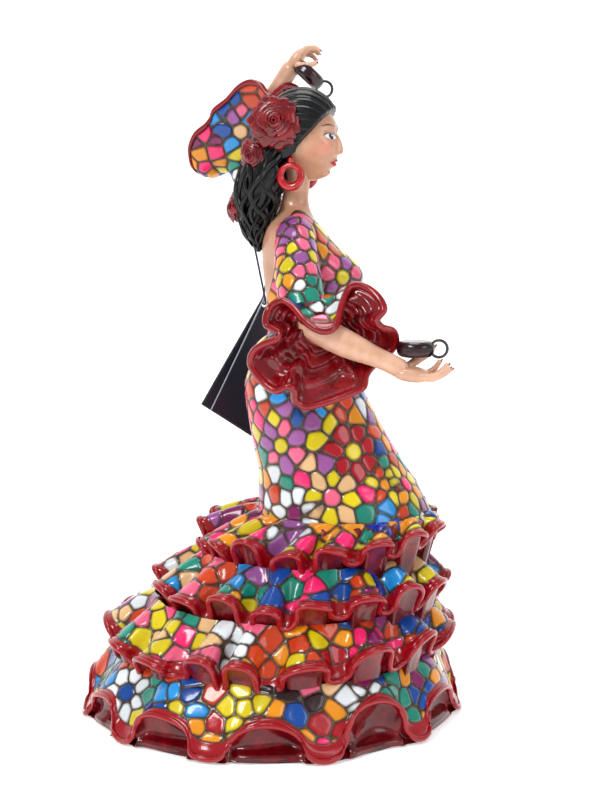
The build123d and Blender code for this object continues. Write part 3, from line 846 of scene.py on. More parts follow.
gown = gown_at(levels, np.broadcast_to(turns, levels.shape), 0.4)
gown_normals = -grid_normals(gown, False, True)
if np.einsum("ij,ij->i", gown_normals[rows // 2][:, :2], np.stack([np.cos(turns), np.sin(turns)],
                                                                  -1)).mean() < 0:
    gown_normals = -gown_normals
gown_tiles = Tiles()
flat_gown, flat_normals = gown.reshape(-1, 3), gown_normals.reshape(-1, 3)
for place, heart, petals, number, size in (
        ((13.2, -34, 98), "pink", ("yellow", "cream"), 8, 1.0),
                                           ((22, -26, 116.4), "yellow", ("red",), 7, 1.0),
        ((44, -15, 99.5), "hot_pink", ("yellow", "orange"), 7, 0.9),
                                           ((35.4, -25, 102), "orange", ("yellow", "rust"), 6, 0.75),
        ((-6.2, -34, 91), "purple", ("white",), 7, 1.0), ((-8.3, -24, 118), "yellow", ("mauve", "pink"), 7,
                                                          0.95),
        ((18, -16, 188), "yellow", ("pink", "mauve"), 7, 0.9),
                                           ((23, 0, 200), "rust", ("yellow", "yellow", "orange"), 7, 0.75),
        ((6, -28, 140), "pink", ("cobalt", "mauve", "sky"), 6, 0.85),
                                           ((0, 28, 110), "orange", ("white",), 7, 1.0),
        ((30, 20, 118), "yellow", ("pink",), 7, 1.0), ((-12, 22, 140), "purple", ("yellow",), 7, 0.95),
        ((-24, 4, 118), "yellow", ("hot_pink",), 7, 1.0)):
    gown_tiles.flower(flat_gown, flat_normals, vec(*place), heart, petals, number, size)
for place, reach, name in (((31, -8, 186), 3.6, "white"), ((28, -9, 178), 2.9, "yellow"),
                           ((12, -20, 178), 3.3, "orange"),
                           ((26, -14, 132), 3.4, "white"), ((19, -21, 137), 3.6, "rust"),
                           ((12, -25, 138), 3.6, "orange"),
                           ((-17, -18, 140), 3.2, "white"), ((-20, -12, 134), 2.8, "hot_pink"),
                           ((-1, -27, 131), 3.6, "cobalt"),
                           ((-9, -25, 139), 3.4, "sky"), ((-15, -22, 106), 3.8, "white"),
                           ((38, -20, 113), 3.2, "teal")):
    gown_tiles.lay(flat_gown[np.argmin(np.linalg.norm(flat_gown - vec(*place), axis=1))], reach, name,
                   (0, 0, 1), 1.3)
gown_zones = [((-24, -6, 116), 16, ("hot_pink", "teal", "orange", "yellow", "rust")),
              ((-12, -24, 128), 12, ("hot_pink", "pink", "rust", "yellow", "mauve")),
              ((-10, -24, 142), 12, ("white", "sky", "cobalt", "mauve", "pink")),
              ((6, -28, 126), 14, ("hot_pink", "pink", "mauve", "orange", "yellow", "rust")),
              ((22, -24, 130), 14, ("rust", "orange", "pink", "hot_pink", "white")),
              ((22, -30, 104), 10, ("rust", "sky", "cobalt", "hot_pink")),
              ((36, -24, 92), 18, ("cobalt", "ultramarine", "teal", "rust", "sky", "hot_pink")),
              ((-14, -30, 98), 14, ("rust", "red", "white", "pink", "teal")),
              ((10, -12, 195), 40, ("pink", "mauve", "yellow", "orange", "rust", "pink", "mauve"))]
gown_tiles.fill(flat_gown[dice.permutation(len(flat_gown))[:sampled_on_gown]], (3.0, 4.6),
                zone_picker(gown_zones, mixed))
edge, shade = gown_tiles.field(flat_gown)
hem_margin = neckline[None] - levels
edge = np.minimum(edge.reshape(rows, columns), hem_margin - 0.9)
shade = shade.reshape(rows, columns, 3)
lifted = gown + gown_normals * tile_lift(edge)[..., None]
inside_rows = 25
inside_share = np.linspace(1, 0, inside_rows)[:, None]
inside = gown_at(gown_foot + (neckline[None] - 0.3 - gown_foot) * inside_share,
                 np.broadcast_to(turns, (inside_rows, columns)), -1.8)
grid = np.concatenate([lifted, gown_at(neckline[None] + 0.15, turns[None], 0.1), inside], axis=0)
untiled = np.full((inside_rows + 1, columns), -1.0)
uncoloured = np.zeros((inside_rows + 1, columns, 3))
gown_piece = shell_piece("gown", grid, mosaic, wrap_rows=True, attributes={
    "tile_edge": np.vstack([edge, untiled]), "tile_colour": np.concatenate([shade, uncoloured])})
stands_for(gown_piece, "painted_mosaic", "skirt_core", "bodice")

# Bare back, shoulders and neck, just inside the gown.
skin_rows, skin_columns = count(190), count(300)
skin_turns = np.linspace(0, 2 * math.pi, skin_columns, endpoint=False)
skin_levels = np.linspace(166, 234, skin_rows)
neck_share = smooth_step(209, 220, skin_levels)[:, None]
body_skin = gown_at(np.broadcast_to(np.minimum(skin_levels, 219)[:, None], (skin_rows, skin_columns)),
                    np.broadcast_to(skin_turns, (skin_rows, skin_columns)), 0.0)
body_skin[..., 2] = skin_levels[:, None]
lean_forward = smooth_step(214, 236, skin_levels) * 1.4
neck_radius = look_up(np.array([206, 212, 218, 226, 234.]), np.array([9.5, 6.9, 5.7, 5.5, 6.4]),
                      skin_levels)[:, None]
neck = np.stack([-2.2 + lean_forward[:, None] + neck_radius * np.cos(skin_turns),
                 neck_radius * 0.94 * np.sin(skin_turns),
                 np.broadcast_to(skin_levels[:, None], (skin_rows, skin_columns))], -1)
body_skin = body_skin * (1 - neck_share[..., None]) + neck * neck_share[..., None]
spine_groove = 0.8 * bell(np.degrees(skin_turns), 180,
                          9)[None] * smooth_step(212, 200, skin_levels)[:, None]
collar_bone = 0.6 * bell(skin_levels[:, None], 213.5 - 0.06 * np.abs(np.degrees(skin_turns)[None] - 60),
                         1.6) \
    * bell(np.minimum(np.degrees(skin_turns), 360 - np.degrees(skin_turns))[None], 42, 30)
shift = collar_bone - spine_groove
body_skin[..., 0] += shift * np.cos(skin_turns)[None]
body_skin[..., 1] += shift * np.sin(skin_turns)[None]
stands_for(shell_piece("bare_shoulders", body_skin, back_paint, caps=True), "painted_skin", "shoulders")

# ---------------------------------------------------------------- sleeves


cuff_swell = 0.8                   # how far a cuff's plain red band swells out, in mm
cuff_tiles = (2.5, 3.9)            # smallest and largest reach of a scattered tile, in mm
sampled_on_cuff = 9000             # points tried when the tiles are scattered


def bell_ruffle(name, node, throat, throat_radius, mouth_way, rim_keys, tile_job, grid_size, inner_throat,
                outer_swell=0.2, inner_depth=0.45, bead=1.2, pleats=0.0, band=1.3, widest=0, wide=0.0):
    """A ruffled cuff between a throat ring and a closed rim: mosaic outside, red lining inside."""
    columns, rows = count(grid_size[0]), count(grid_size[1])
    rim = even_steps(curve_through(rim_keys, 900, closed=True), columns, closed=True)
    mouth_way = unit(mouth_way)
    first = unit(np.cross(mouth_way, vec(0.03, 1, 0.2)))
    second = np.cross(mouth_way, first)
    offset = rim - rim.mean(axis=0)
    angle = np.unwrap(np.arctan2(offset @ second, offset @ first))
    start_angle, steady = angle[0], np.linspace(0, 2 * math.pi * np.sign(angle[-1] - angle[0]), columns,
                                                endpoint=False)
    angle = 0.55 * (start_angle + steady + (angle - start_angle - steady).mean()) + 0.45 * angle

    def throat_ring(centre, radius):
        return centre + radius * (np.cos(angle)[:, None] * first + np.sin(angle)[:, None] * second)

    t = np.linspace(0, 1, rows)[:, None, None]
    base = throat_ring(throat, throat_radius)
    swell = np.sin(math.pi * t) * outer_swell
    outward = rim - throat
    outward = outward - (outward @ mouth_way)[:, None] * mouth_way
    grow = t ** 0.85
    outer = base[None] * (1 - grow) + rim[None] * grow
    outer = outer + swell * outward[None] - mouth_way * np.sin(math.pi * t) * 2.0
    normal = grid_normals(outer, False, True)
    if (normal * outward[None]).sum(axis=-1).mean() < 0:
        normal = -normal
    tiles = Tiles()
    flat_points = outer.reshape(-1, 3)
    pick = tile_job(tiles, flat_points, normal.reshape(-1, 3))
    tiles.fill(flat_points[dice.permutation(len(flat_points))[:sampled_on_cuff]], cuff_tiles, pick)
    edge, shade = tiles.field(flat_points)
    margin = np.linalg.norm(outer - outer[-1:], axis=-1)
    band = band + wide * bell(np.linalg.norm(rim - rim_keys[widest], axis=1), 0, 7.0)
    edge = np.minimum(edge.reshape(rows, columns), margin - band)
    shade = shade.reshape(rows, columns, 3)
    lifted = outer + normal * (tile_lift(edge) + roll_out(margin, band, cuff_swell))[..., None]
    tip = outer[-1] - outer[-3]
    tip = tip / np.linalg.norm(tip, axis=-1, keepdims=True)
    rim_out = normal[-1]
    turn = np.radians(np.linspace(-60, 205, 11))[:, None, None]
    roll = rim[None] - tip[None] * bead * 0.3 + bead * (np.cos(turn) * rim_out[None] + np.sin(turn)
                                                        * tip[None])
    start = roll[-1]
    inner_rows = max(rows, 20)
    u = np.linspace(0, 1, inner_rows + 1)[1:, None, None]
    deep = throat_ring(np.asarray(inner_throat[:3], float), inner_throat[3])
    radial = 1 - (1 - u) ** 1.25
    lining = start[None] * (1 - radial) + deep[None] * radial
    lining = lining - mouth_way * np.sin(math.pi * u ** 0.8) * inner_depth * 10
    spread = np.linalg.norm(offset, axis=1)
    lobe = smooth_step(np.percentile(spread, 12), np.percentile(spread, 88), spread)[None, :, None]
    layer = np.sin(2 * math.pi * (u * 3.6 + 0.25 * lobe)) * np.sin(math.pi * u) ** 0.5
    lining = lining + mouth_way * ((lobe - 0.45) * np.sin(math.pi * u ** 0.75) * 5.5 + 1.1 * layer) * pleats
    swirl = np.sin(angle * 8 + 2.2 * np.sin(angle * 3))[None, :, None] * np.sin(math.pi * u ** 0.7) ** 2
    lining = lining + mouth_way * 1.2 * swirl * pleats
    grid = np.concatenate([lifted, roll, lining], axis=0)
    flat = np.zeros(grid.shape[:2])
    edge_all = flat - 1
    edge_all[:rows] = edge
    lining_mask = flat + 1
    lining_mask[:rows] = smooth_step(0.25, -0.25, margin - band)
    # The outside and the roll get a little more of the brighter red than the lining, a painted light; the
    # lining gets painted shade that deepens into the throat.
    lit_rim_mask = flat + 0.3
    lit_rim_mask[:rows + len(roll)] = 0.5
    painted_shade = flat.copy()
    painted_shade[rows + len(roll):] = (u ** 1.5)[..., 0]
    shade_all = np.zeros(grid.shape) + 0.3
    shade_all[:rows] = shade
    piece = shell_piece(name, grid, mosaic, wrap_rows=True, attributes={
        "tile_edge": edge_all, "tile_colour": shade_all, "lining": lining_mask,
        "bead": lit_rim_mask, "painted_shade": painted_shade})
    return stands_for(piece, "painted_mosaic", node)


def right_cuff_tiles(tiles, points, normals):
    tiles.lay(vec(10, -45, 183), 3.4, "white")
    tiles.lay(vec(17, -44, 184), 3.0, "white")
    return zone_picker([((12, -44, 184), 9, ("white", "teal")),
                        ((32, -46, 174), 10, ("cobalt", "pink", "sky"))],
                       ("white", "teal", "cobalt", "yellow", "pink"))


right_rim = [(-13.4, -50, 171.6), (-12.2, -49, 177.5), (-7.5, -47, 180.6), (-2.6, -50, 178.0),
             (2.4, -54.5, 172.6),
             (8.6, -57, 169.4), (14.2, -55.5, 171.2), (16.6, -49, 179.0), (20.5, -43, 186),
             (26.2, -44, 185.8),
             (31.2, -47, 182.2), (33.4, -50, 177.6), (30.6, -49.5, 173.4), (32.6, -48.5, 170.2),
             (37.4, -46, 168.2),
             (38.6, -43.5, 163.6), (36.2, -42.5, 159.4), (30.7, -43.0, 155.0), (27.0, -47.5, 151.0),
             (25.4, -52, 146.6),
             (20.7, -53, 144.4), (11.1, -53, 140.8), (2.4, -53, 138.8), (-1.8, -54, 141.6),
             (-2.4, -56.5, 145.8),
             (-5.0, -57, 147.4), (-9.6, -55, 145.4), (-15.1, -52, 148.8), (-19.6, -50, 155.2),
             (-18.6, -51, 160.4),
             (-14.6, -54, 163.8), (-9.6, -56, 166.0), (-8.6, -55, 168.4)]
bell_ruffle("right_cuff", "right_sleeve_flounce", vec(6, -38, 171), 10.5, vec(0.1, -1, -0.25),
            np.array(right_rim),
            right_cuff_tiles, (760, 40), (8.6, -47.0, 169.0, 6.5), outer_swell=0.12, inner_depth=0.35,
            bead=1.5, pleats=1.0, band=3.0, widest=5, wide=4.0)


def left_cuff_tiles(tiles, points, normals):
    tiles.flower(points, normals, vec(-27, 30, 246), "cream", ("cobalt", "sky", "mauve"), 6, 0.9)
    return zone_picker([((-18, 28, 264), 10, ("rust", "orange", "red", "rust")),
                        ((-29, 32, 257), 9, ("sky", "cobalt", "pink", "mauve")),
                        ((-44, 40, 241), 12, ("purple", "hot_pink", "orange", "hot_pink")),
                        ((-31, 41, 234), 11, ("cobalt", "ultramarine", "teal", "yellow")),
                        ((-8, 28, 260), 10, ("mauve", "pink", "rust", "red")),
                        ((-18, 34, 247), 9, ("yellow", "rust", "cream"))], mixed)


left_rim = [(1.5, 34, 264.0), (-2.0, 28, 267.4), (-6.4, 24.5, 267.8), (-10.4, 23.0, 265.2),
            (-12.6, 22.5, 263.4),
            (-14.8, 23.5, 265.2), (-17.4, 25.5, 268.4), (-22.2, 28, 269.4), (-27.2, 31, 267.0),
            (-32.2, 34, 261.8),
            (-37.8, 36, 257.5), (-39.4, 37.5, 254.0), (-41.8, 38, 250.8), (-46.6, 40, 246.8),
            (-49.2, 43, 240.6),
            (-48.2, 47, 233.6), (-44.2, 53, 230.4), (-40.0, 60, 236.0), (-38.0, 66, 245.0),
            (-30.0, 70, 250.0),
            (-22.0, 69, 256.0), (-13.0, 66, 257.0), (-6.0, 60, 260.0), (0.5, 51, 261.0), (3.0, 42, 262.0)]
bell_ruffle("left_cuff", "left_sleeve_flounce", vec(-25.5, 49.5, 233.5), 8.0, vec(-0.42, 0, 0.9),
            np.array(left_rim),
            left_cuff_tiles, (560, 72), (-24.5, 49.0, 240.0, 6.0), outer_swell=0.10, inner_depth=0.35,
            bead=1.25, pleats=0.6)


sampled_on_sleeve = 8000           # points tried when the tiles are scattered


def sleeve(name, node, path_keys, radii_keys, tile_job, columns_wanted, rows_wanted, sizes):
    """A mosaic sleeve: a tube through the keys with tiles all over it."""
    columns, rows = count(columns_wanted), count(rows_wanted)
    path = even_steps(curve_through(path_keys, 300), rows)
    radius = curve_through(radii_keys, rows)[:, 0]
    way = np.gradient(path, axis=0)
    way /= np.linalg.norm(way, axis=1, keepdims=True)
    side = np.cross(way, vec(0, 0, 1))
    side /= np.linalg.norm(side, axis=1, keepdims=True)
    up = np.cross(side, way)
    turn = np.linspace(0, 2 * math.pi, columns, endpoint=False)
    out = np.cos(turn)[None, :, None] * side[:, None] + np.sin(turn)[None, :, None] * up[:, None]
    grid = path[:, None] + radius[:, None, None] * out
    tiles = Tiles()
    flat_points = grid.reshape(-1, 3)
    pick = tile_job(tiles, flat_points, out.reshape(-1, 3))
    tiles.fill(flat_points[dice.permutation(len(flat_points))[:sampled_on_sleeve]], sizes, pick)
    edge, shade = tiles.field(flat_points)
    edge = edge.reshape(rows, columns)
    grid = grid + out * tile_lift(edge)[..., None]
    piece = shell_piece(name, grid, mosaic, caps=True, attributes={
        "tile_edge": edge, "tile_colour": shade.reshape(rows, columns, 3)})
    return stands_for(piece, "painted_mosaic", node)


def right_sleeve_tiles(tiles, points, normals):
    tiles.flower(points, normals, vec(5, -30, 197), "yellow", ("mauve", "pink", "mauve", "pink"), 6, 0.85)
    return zone_picker([((-8, -18, 208), 12, ("pink", "mauve")),
                        ((-8, -34, 190), 10, ("orange", "yellow", "pink")),
                        ((6, -40, 182), 12, ("white", "teal", "hot_pink"))],
                       ("pink", "yellow", "orange", "mauve", "teal"))


def left_sleeve_tiles(tiles, points, normals):
    return zone_picker([], ("cobalt", "cream", "white", "sky", "orange", "mauve"))


sleeve("right_sleeve_tiled", "right_sleeve", [(-2, -8, 205), (-2, -15, 204), (-1.4, -25, 195),
                                              (0, -33, 184), (2, -37.5, 176)],
       [7.5, 8.2, 8.6, 9.0, 8.4], right_sleeve_tiles, 300, 200, (2.3, 3.4))
sleeve("left_sleeve_tiled", "left_sleeve", [(-3, 12, 203), (-8, 20, 208), (-16, 34, 218.8),
                                            (-24.5, 49, 231.5), (-26.5, 49.5, 235.5)],
       [7.0, 7.2, 7.0, 7.2, 6.8], left_sleeve_tiles, 260, 190, (2.3, 3.4))

# ---------------------------------------------------------------- arms and hands


def hand(name, node, arm_path, arm_radii, palm_middle, palm_half, palm_way, palm_flat, fingers, nail_size):
    """Forearm, palm and fingers as one piece of skin, with painted nails as their own piece."""
    lots = [tube_lot(even_steps(curve_through(arm_path, 160), count(110)),
                     curve_through(arm_radii, count(110))[:, 0],
                     count(56), attributes={"painted_shade": 0.0})]
    way, flat = unit(np.asarray(palm_way, float)), unit(np.asarray(palm_flat, float))
    flat = unit(flat - way * np.dot(flat, way))
    side = np.cross(way, flat)
    theta, phi = np.meshgrid(np.linspace(0.03, math.pi - 0.03, count(60)),
                             np.linspace(0, 2 * math.pi, count(60), endpoint=False), indexing="ij")
    ball = np.stack([np.cos(theta), np.sin(theta) * np.cos(phi), np.sin(theta) * np.sin(phi)], -1)
    squared = np.sign(ball) * np.abs(ball) ** 0.85
    palm = (palm_middle + squared[..., :1] * palm_half[0] * way + squared[..., 1:2] * palm_half[1] * flat
            + squared[..., 2:] * palm_half[2] * side)
    quads = list(grid_quads(palm.shape[0], palm.shape[1], False, True)[:, ::-1])
    quads += [np.arange(palm.shape[1]), (np.arange(palm.shape[1]) + (palm.shape[0] - 1)
                                         * palm.shape[1])[::-1]]
    lots.append((palm.reshape(-1, 3), quads, {"painted_shade": np.zeros(palm.shape[0] * palm.shape[1])}))
    nails = []
    for keys, thick, tip, nail_way in fingers:
        path = even_steps(curve_through(keys, 120), count(60))
        joint = 1 + 0.07 * bell(np.linspace(0, 1, len(path)), 0.36,
                                0.07) + 0.06 * bell(np.linspace(0, 1, len(path)), 0.68, 0.06)
        radii = np.linspace(thick, tip, len(path)) * joint
        lots.append(tube_lot(path, radii, count(26), attributes={"painted_shade": 0.0}))
        end_way = unit(path[-1] - path[-6])
        out = unit(np.asarray(nail_way, float) - end_way * np.dot(nail_way, end_way))
        nail_path = [path[-1] + out * tip * 0.42 + end_way
                     * step for step in np.linspace(-tip * 1.1, nail_size, 14)]
        nail_radii = tip * 0.84 * np.sin(np.linspace(0.9, 2.85, 14)) ** 0.6
        nails.append(tube_lot(np.array(nail_path), nail_radii, 16, flatten=0.6,
                              side_way=np.cross(end_way, out),
                              attributes={"painted_shade": 0.0}))
    stands_for(joined(name, lots, skin_paint), "painted_skin", node)
    return stands_for(joined(name + "_nails", nails, crimson_paint), "painted_crimson")


hand("right_hand", "right_arm",
     [(-4, -34, 177), (2, -41, 172.6), (8.6, -46.4, 168.6), (20, -49, 163.0), (34, -49.8, 156.9),
      (40, -50.3, 153.9)], [4.6, 5.3, 5.8, 5.4, 4.1, 3.9],
     vec(44.4, -50.6, 151.8), (7.4, 4.9, 3.0), (1, 0, -0.12), (0, 1, 0.15),
     [([(48, -53.6, 151.2), (52, -54.4, 151.0), (56, -54.2, 152.6), (58.8, -53.6, 154.6)], 1.75, 1.1,
       (0.3, 0, -1)),
      ([(48.5, -51.6, 150.7), (52.6, -51.8, 150.4), (56.6, -51.8, 151.8), (59.8, -51.4, 153.9)], 1.75, 1.1,
       (0.3, 0, -1)),
      ([(48.5, -49.4, 150.9), (52.4, -49.2, 150.8), (56, -49.2, 152.4), (58.6, -49, 155.2)], 1.7, 1.05,
       (0.3, 0, -1)),
      ([(47.5, -47.2, 151.6), (51, -46.8, 151.8), (54, -46.8, 153.8), (55.8, -46.9, 156.4)], 1.55, 0.95,
       (0.3, 0, -1)),
      ([(42.5, -47.5, 154), (46, -45.6, 156.2), (50, -45.4, 158.6), (53.2, -46.5, 162.3)], 1.9, 1.2,
       (1, 0, 0.3))], 1.3)
hand("left_hand", "left_arm",
     [(-24, 48.5, 236), (-21.6, 43, 245), (-14.5, 34, 258.5), (-5.6, 27, 272.4), (-4.0, 26, 274.6)],
     [5.2, 5.4, 4.9, 3.9, 3.8],
     vec(-1.6, 25.4, 278.4), (5.6, 4.2, 2.7), (0.62, -0.1, 0.78), (0.2, 1, 0),
     [([(0.5, 22.6, 281.2), (3.2, 22, 283.0), (6.4, 22.4, 283.2), (8.0, 23, 282.4)], 1.55, 0.95,
       (0.6, 0, 1)),
      ([(0.8, 24.6, 281.6), (3.6, 24.2, 283.2), (6.6, 24.2, 283.2), (8.4, 24.2, 282.2)], 1.55, 0.9,
       (0.6, 0, 1)),
      ([(0.9, 26.6, 281.2), (3.6, 26.6, 282.6), (6.4, 26.6, 282.2), (8.0, 26.6, 281.0)], 1.5, 0.9,
       (0.6, 0, 1)),
      ([(0.9, 28.4, 280.2), (3.2, 28.8, 281.0), (5.4, 28.8, 280.2), (6.8, 28.8, 278.8)], 1.4, 0.85,
       (0.6, 0, 1)),
      ([(-1.2, 22.0, 276.2), (2.0, 20.6, 275.8), (4.8, 20.8, 276.2), (6.6, 21.4, 276.8)], 1.6, 1.0,
       (0.4, -1, 0))], 1.0)

# ---------------------------------------------------------------- head

head_middle = vec(1.2, 0, shoulder_top + 31)
head_turn = math.radians(-15)
head_half = vec(15.2, 12.4, 18.0)


def from_head(points):
    """Head coordinates (x towards the face, z up) turned and placed on the figure."""
    points = np.asarray(points, float)
    x, y, z = points[..., 0], points[..., 1], points[..., 2]
    return head_middle + np.stack([x * math.cos(head_turn) - y * math.sin(head_turn),
                                   x * math.sin(head_turn) + y * math.cos(head_turn), z], axis=-1)


def skull(rows, columns, crowd):
    """An even ellipsoid grid, its columns crowded towards the face."""
    theta = np.linspace(0.02, math.pi - 0.02, rows)[:, None]
    around = np.linspace(0, 2 * math.pi, columns, endpoint=False)
    phi = (around - crowd * np.sin(around))[None]
    return np.stack([np.sin(theta) * np.cos(phi) * head_half[0], np.sin(theta) * np.sin(phi) * head_half[1],
                     np.cos(theta) * np.ones_like(phi) * head_half[2]], axis=-1)


def bump_at(y, z, middle_y, middle_z, spread_y, spread_z):
    """A rounded bump, seen from the front of the head."""
    return bell(y, middle_y, spread_y) * bell(z, middle_z, spread_z)


# The face is shaped by bumps and hollows in head coordinates, x forwards, y to the side, z up.
head_grid = skull(count(270), count(330), 0.55)
x, y, z = head_grid[..., 0].copy(), head_grid[..., 1].copy(), head_grid[..., 2].copy()
side = np.abs(y)
jaw = smooth_step(-1, -17.5, z)
y *= 1 - 0.42 * jaw
depth_share = np.clip(np.abs(z) / head_half[2], 0, 0.9999)
fuller = (1 - depth_share ** 2.8) ** (1 / 2.8) / np.sqrt(1 - depth_share ** 2)
x = np.where((x > 0) & (z < 0), x * (1 + (fuller - 1) * 0.92), x * (1 - 0.42 * jaw))
front = smooth_step(2, 7, x)
x -= front * 0.9 * bump_at(y, z, 0, 13, 9, 6)
# The nose: its ridge, then the nostrils.
ridge = smooth_step(4.2, -5.4, z) * smooth_step(-7.7, -6.3, z)
x += front * 2.3 * ridge ** 1.15 * bell(y, 0, 1.15 + 0.65 * smooth_step(2, -6, z))
x += front * 0.8 * bump_at(side, z, 1.7, -6.3, 0.75, 0.85)
# The eye sockets, the bridge between them, the eyeballs, the brows and the cheeks.
x -= front * 1.1 * bump_at(side, z, 4.6, 0.6, 2.6, 1.9)
x -= front * 0.9 * bump_at(y, z, 0, 2.4, 2.0, 1.6)
x += front * 0.75 * bump_at(side, z, 4.7, 0.2, 1.9, 1.05)
x += front * 0.55 * bump_at(side, z, 4.8, 4.0, 3.4, 1.3)
x += front * 0.9 * bump_at(side, z, 6.3, -4.6, 2.8, 3.0)
# The upper and lower lips, the line between them, the groove above, the hollow below and the chin.
x += front * 0.95 * bump_at(y, z, 0, -9.5, 2.7, 0.85)
x += front * 1.1 * bump_at(y, z, 0, -11.3, 2.2, 0.95)
x -= front * 0.55 * bump_at(y, z, 0, -10.35, 3.0, 0.30)
x -= front * 0.35 * bump_at(y, z, 0, -8.2, 0.5, 0.9)
x -= front * 0.8 * bump_at(y, z, 0, -13.2, 3.0, 0.9)
x += front * 0.9 * bump_at(y, z, 0, -15.4, 2.8, 1.6)
face = np.stack([x, y, z], axis=-1)

flesh_share = np.zeros(x.shape)
flesh_colour = np.zeros(x.shape + (3,))


def daub(mask, colour):
    """Lays a colour over the face where the mask is above nothing."""
    mask = np.clip(mask, 0, 1) * front
    keep = flesh_share * (1 - mask)
    total = np.maximum(keep + mask, 1e-6)
    flesh_colour[:] = (flesh_colour * keep[..., None] + np.array(rgb(*colour)[:3])
                       * mask[..., None]) / total[..., None]
    flesh_share[:] = np.clip(keep + mask, 0, 1)


def stroke(distance, half, soft=0.10):
    """A brush stroke of this half width."""
    return smooth_step(half + soft, half - soft, distance)


# Blush and lid shadow, then the eyes from the white outwards to the lids and lashes.
side = np.abs(y)
daub(0.42 * bump_at(side, z, 7.4, -4.4, 2.9, 3.0), (0.86, 0.40, 0.34))
daub(0.30 * bump_at(side, z, 5.2, 2.6, 3.2, 1.2), (0.62, 0.42, 0.38))
eye_y = (side - 4.9) / 2.9
upper = 1.45 * np.sqrt(np.clip(1 - eye_y ** 2, 0, 1)) * (1 - 0.10 * eye_y)
lower = -0.95 * np.sqrt(np.clip(1 - eye_y ** 2, 0, 1))
up_from_eye = z - 0.3 - 0.12 * (side - 4.8)
open_eye = (np.abs(eye_y) < 1) & (up_from_eye < upper) & (up_from_eye > lower)
daub(np.where(open_eye, 1.0, 0), (0.90, 0.91, 0.92))
iris = np.hypot(side - 4.9, up_from_eye - 0.18)
daub(np.where(open_eye, stroke(iris, 1.22), 0), (0.07, 0.12, 0.30))
daub(np.where(open_eye, stroke(iris, 0.6), 0), (0.01, 0.01, 0.02))
# A small white dot on the iris: a painted glint.
daub(np.where(open_eye, stroke(np.hypot(side - 4.5, up_from_eye - 0.62), 0.24), 0), (0.95, 0.96, 0.98))
reach = np.abs(eye_y) < 1.22
lid = 1.45 * np.sqrt(np.clip(1 - (eye_y / 1.22) ** 2, 0, 1)) + 0.06
daub(np.where(reach, stroke(np.abs(up_from_eye - lid), 0.15 + 0.09 * np.clip(eye_y, 0, 1)), 0),
     (0.04, 0.02, 0.03))
daub(np.where(np.abs(eye_y) < 1.0, 0.55 * stroke(np.abs(up_from_eye - lower), 0.07), 0), (0.30, 0.14, 0.12))
# A faint brown line above the lid: painted shade in the lid's fold.
daub(np.where(np.abs(eye_y) < 1.15, 0.5 * stroke(np.abs(up_from_eye - lid - 0.95), 0.07), 0),
     (0.45, 0.25, 0.20))
for k in range(11):
    lash = 2.6 + k * 0.5
    root = 1.2 * math.sqrt(max(1 - ((lash - 4.8) / 3.1) ** 2, 0)) + 0.3
    lean = 0.16 * (k - 4)
    run = np.clip((up_from_eye - root) / 1.0, 0, 1)
    within = (up_from_eye > root - 0.1) & (up_from_eye < root + 0.95)
    daub(np.where(within, stroke(np.abs(side - lash - lean * run), 0.075 * (1.2 - run), 0.05), 0),
         (0.05, 0.03, 0.03))
# The brows, the lips and the nostrils.
brow = 4.1 + 1.25 * np.sin(np.clip((side - 1.9) / 7.2, 0, 1) * math.pi * 0.86)
brow_half = 0.30 * np.sin(np.clip((side - 1.6) / 7.4, 0, 1) * math.pi) ** 0.6
daub(np.where((side > 1.8) & (side < 8.8), stroke(np.abs(z - brow), brow_half, 0.09), 0),
     (0.12, 0.04, 0.03))
mouth = -10.35 + 0.05 * side ** 1.5
lip_top = mouth + 1.40 * np.clip(1 - (side / 3.7) ** 1.7, 0, 1) - 0.28 * bell(y, 0, 0.55)
lip_low = mouth - 1.70 * np.clip(1 - (side / 3.3) ** 2, 0, 1)
daub(np.minimum(smooth_step(lip_low - 0.08, lip_low + 0.08, z),
                smooth_step(lip_top + 0.08, lip_top - 0.08, z))
     * (side < 3.7), (0.70, 0.03, 0.10))
# The dark line between the lips is painted shade.
daub(stroke(np.abs(z - mouth), 0.09, 0.06) * (side < 3.6), (0.28, 0.01, 0.03))
# The nostrils are dark painted spots: painted shade in their openings.
daub(0.6 * stroke(np.hypot(side - 1.0, (z + 7.3) * 1.5), 0.42, 0.2), (0.42, 0.20, 0.15))
head_piece = shell_piece("painted_head", from_head(face), face_paint, caps=True, attributes={
    "paint_share": flesh_share, "paint_colour": flesh_colour})
stands_for(head_piece, "painted_skin", "head")

# ---------------------------------------------------------------- hair

hairline = (vec(-7.0, -30), vec(-7.0, -9), vec(1.2, -3.4), vec(7.2, 3.2), vec(12.6, 10.6), vec(40, 13))
side_locks = 26
fall_locks = 70
golden_turn = 2.39996              # radians between one lock of the fall and the next


def into_hair(points):
    """How far inside the hairline a point is, in mm, seen from the side of the head."""
    flat = points[..., [0, 2]]
    best, signed = np.full(flat.shape[:-1], 1e9), np.zeros(flat.shape[:-1])
    for start, end in zip(hairline[:-1], hairline[1:]):
        along = end - start
        place = np.clip(((flat - start) @ along) / (along @ along), 0, 1)
        gap = flat - start - place[..., None] * along
        distance = np.linalg.norm(gap, axis=-1)
        sign = np.sign(along[0] * gap[..., 1] - along[1] * gap[..., 0])
        closer = distance < best
        best[closer] = distance[closer]
        signed[closer] = (sign * distance)[closer]
    return signed


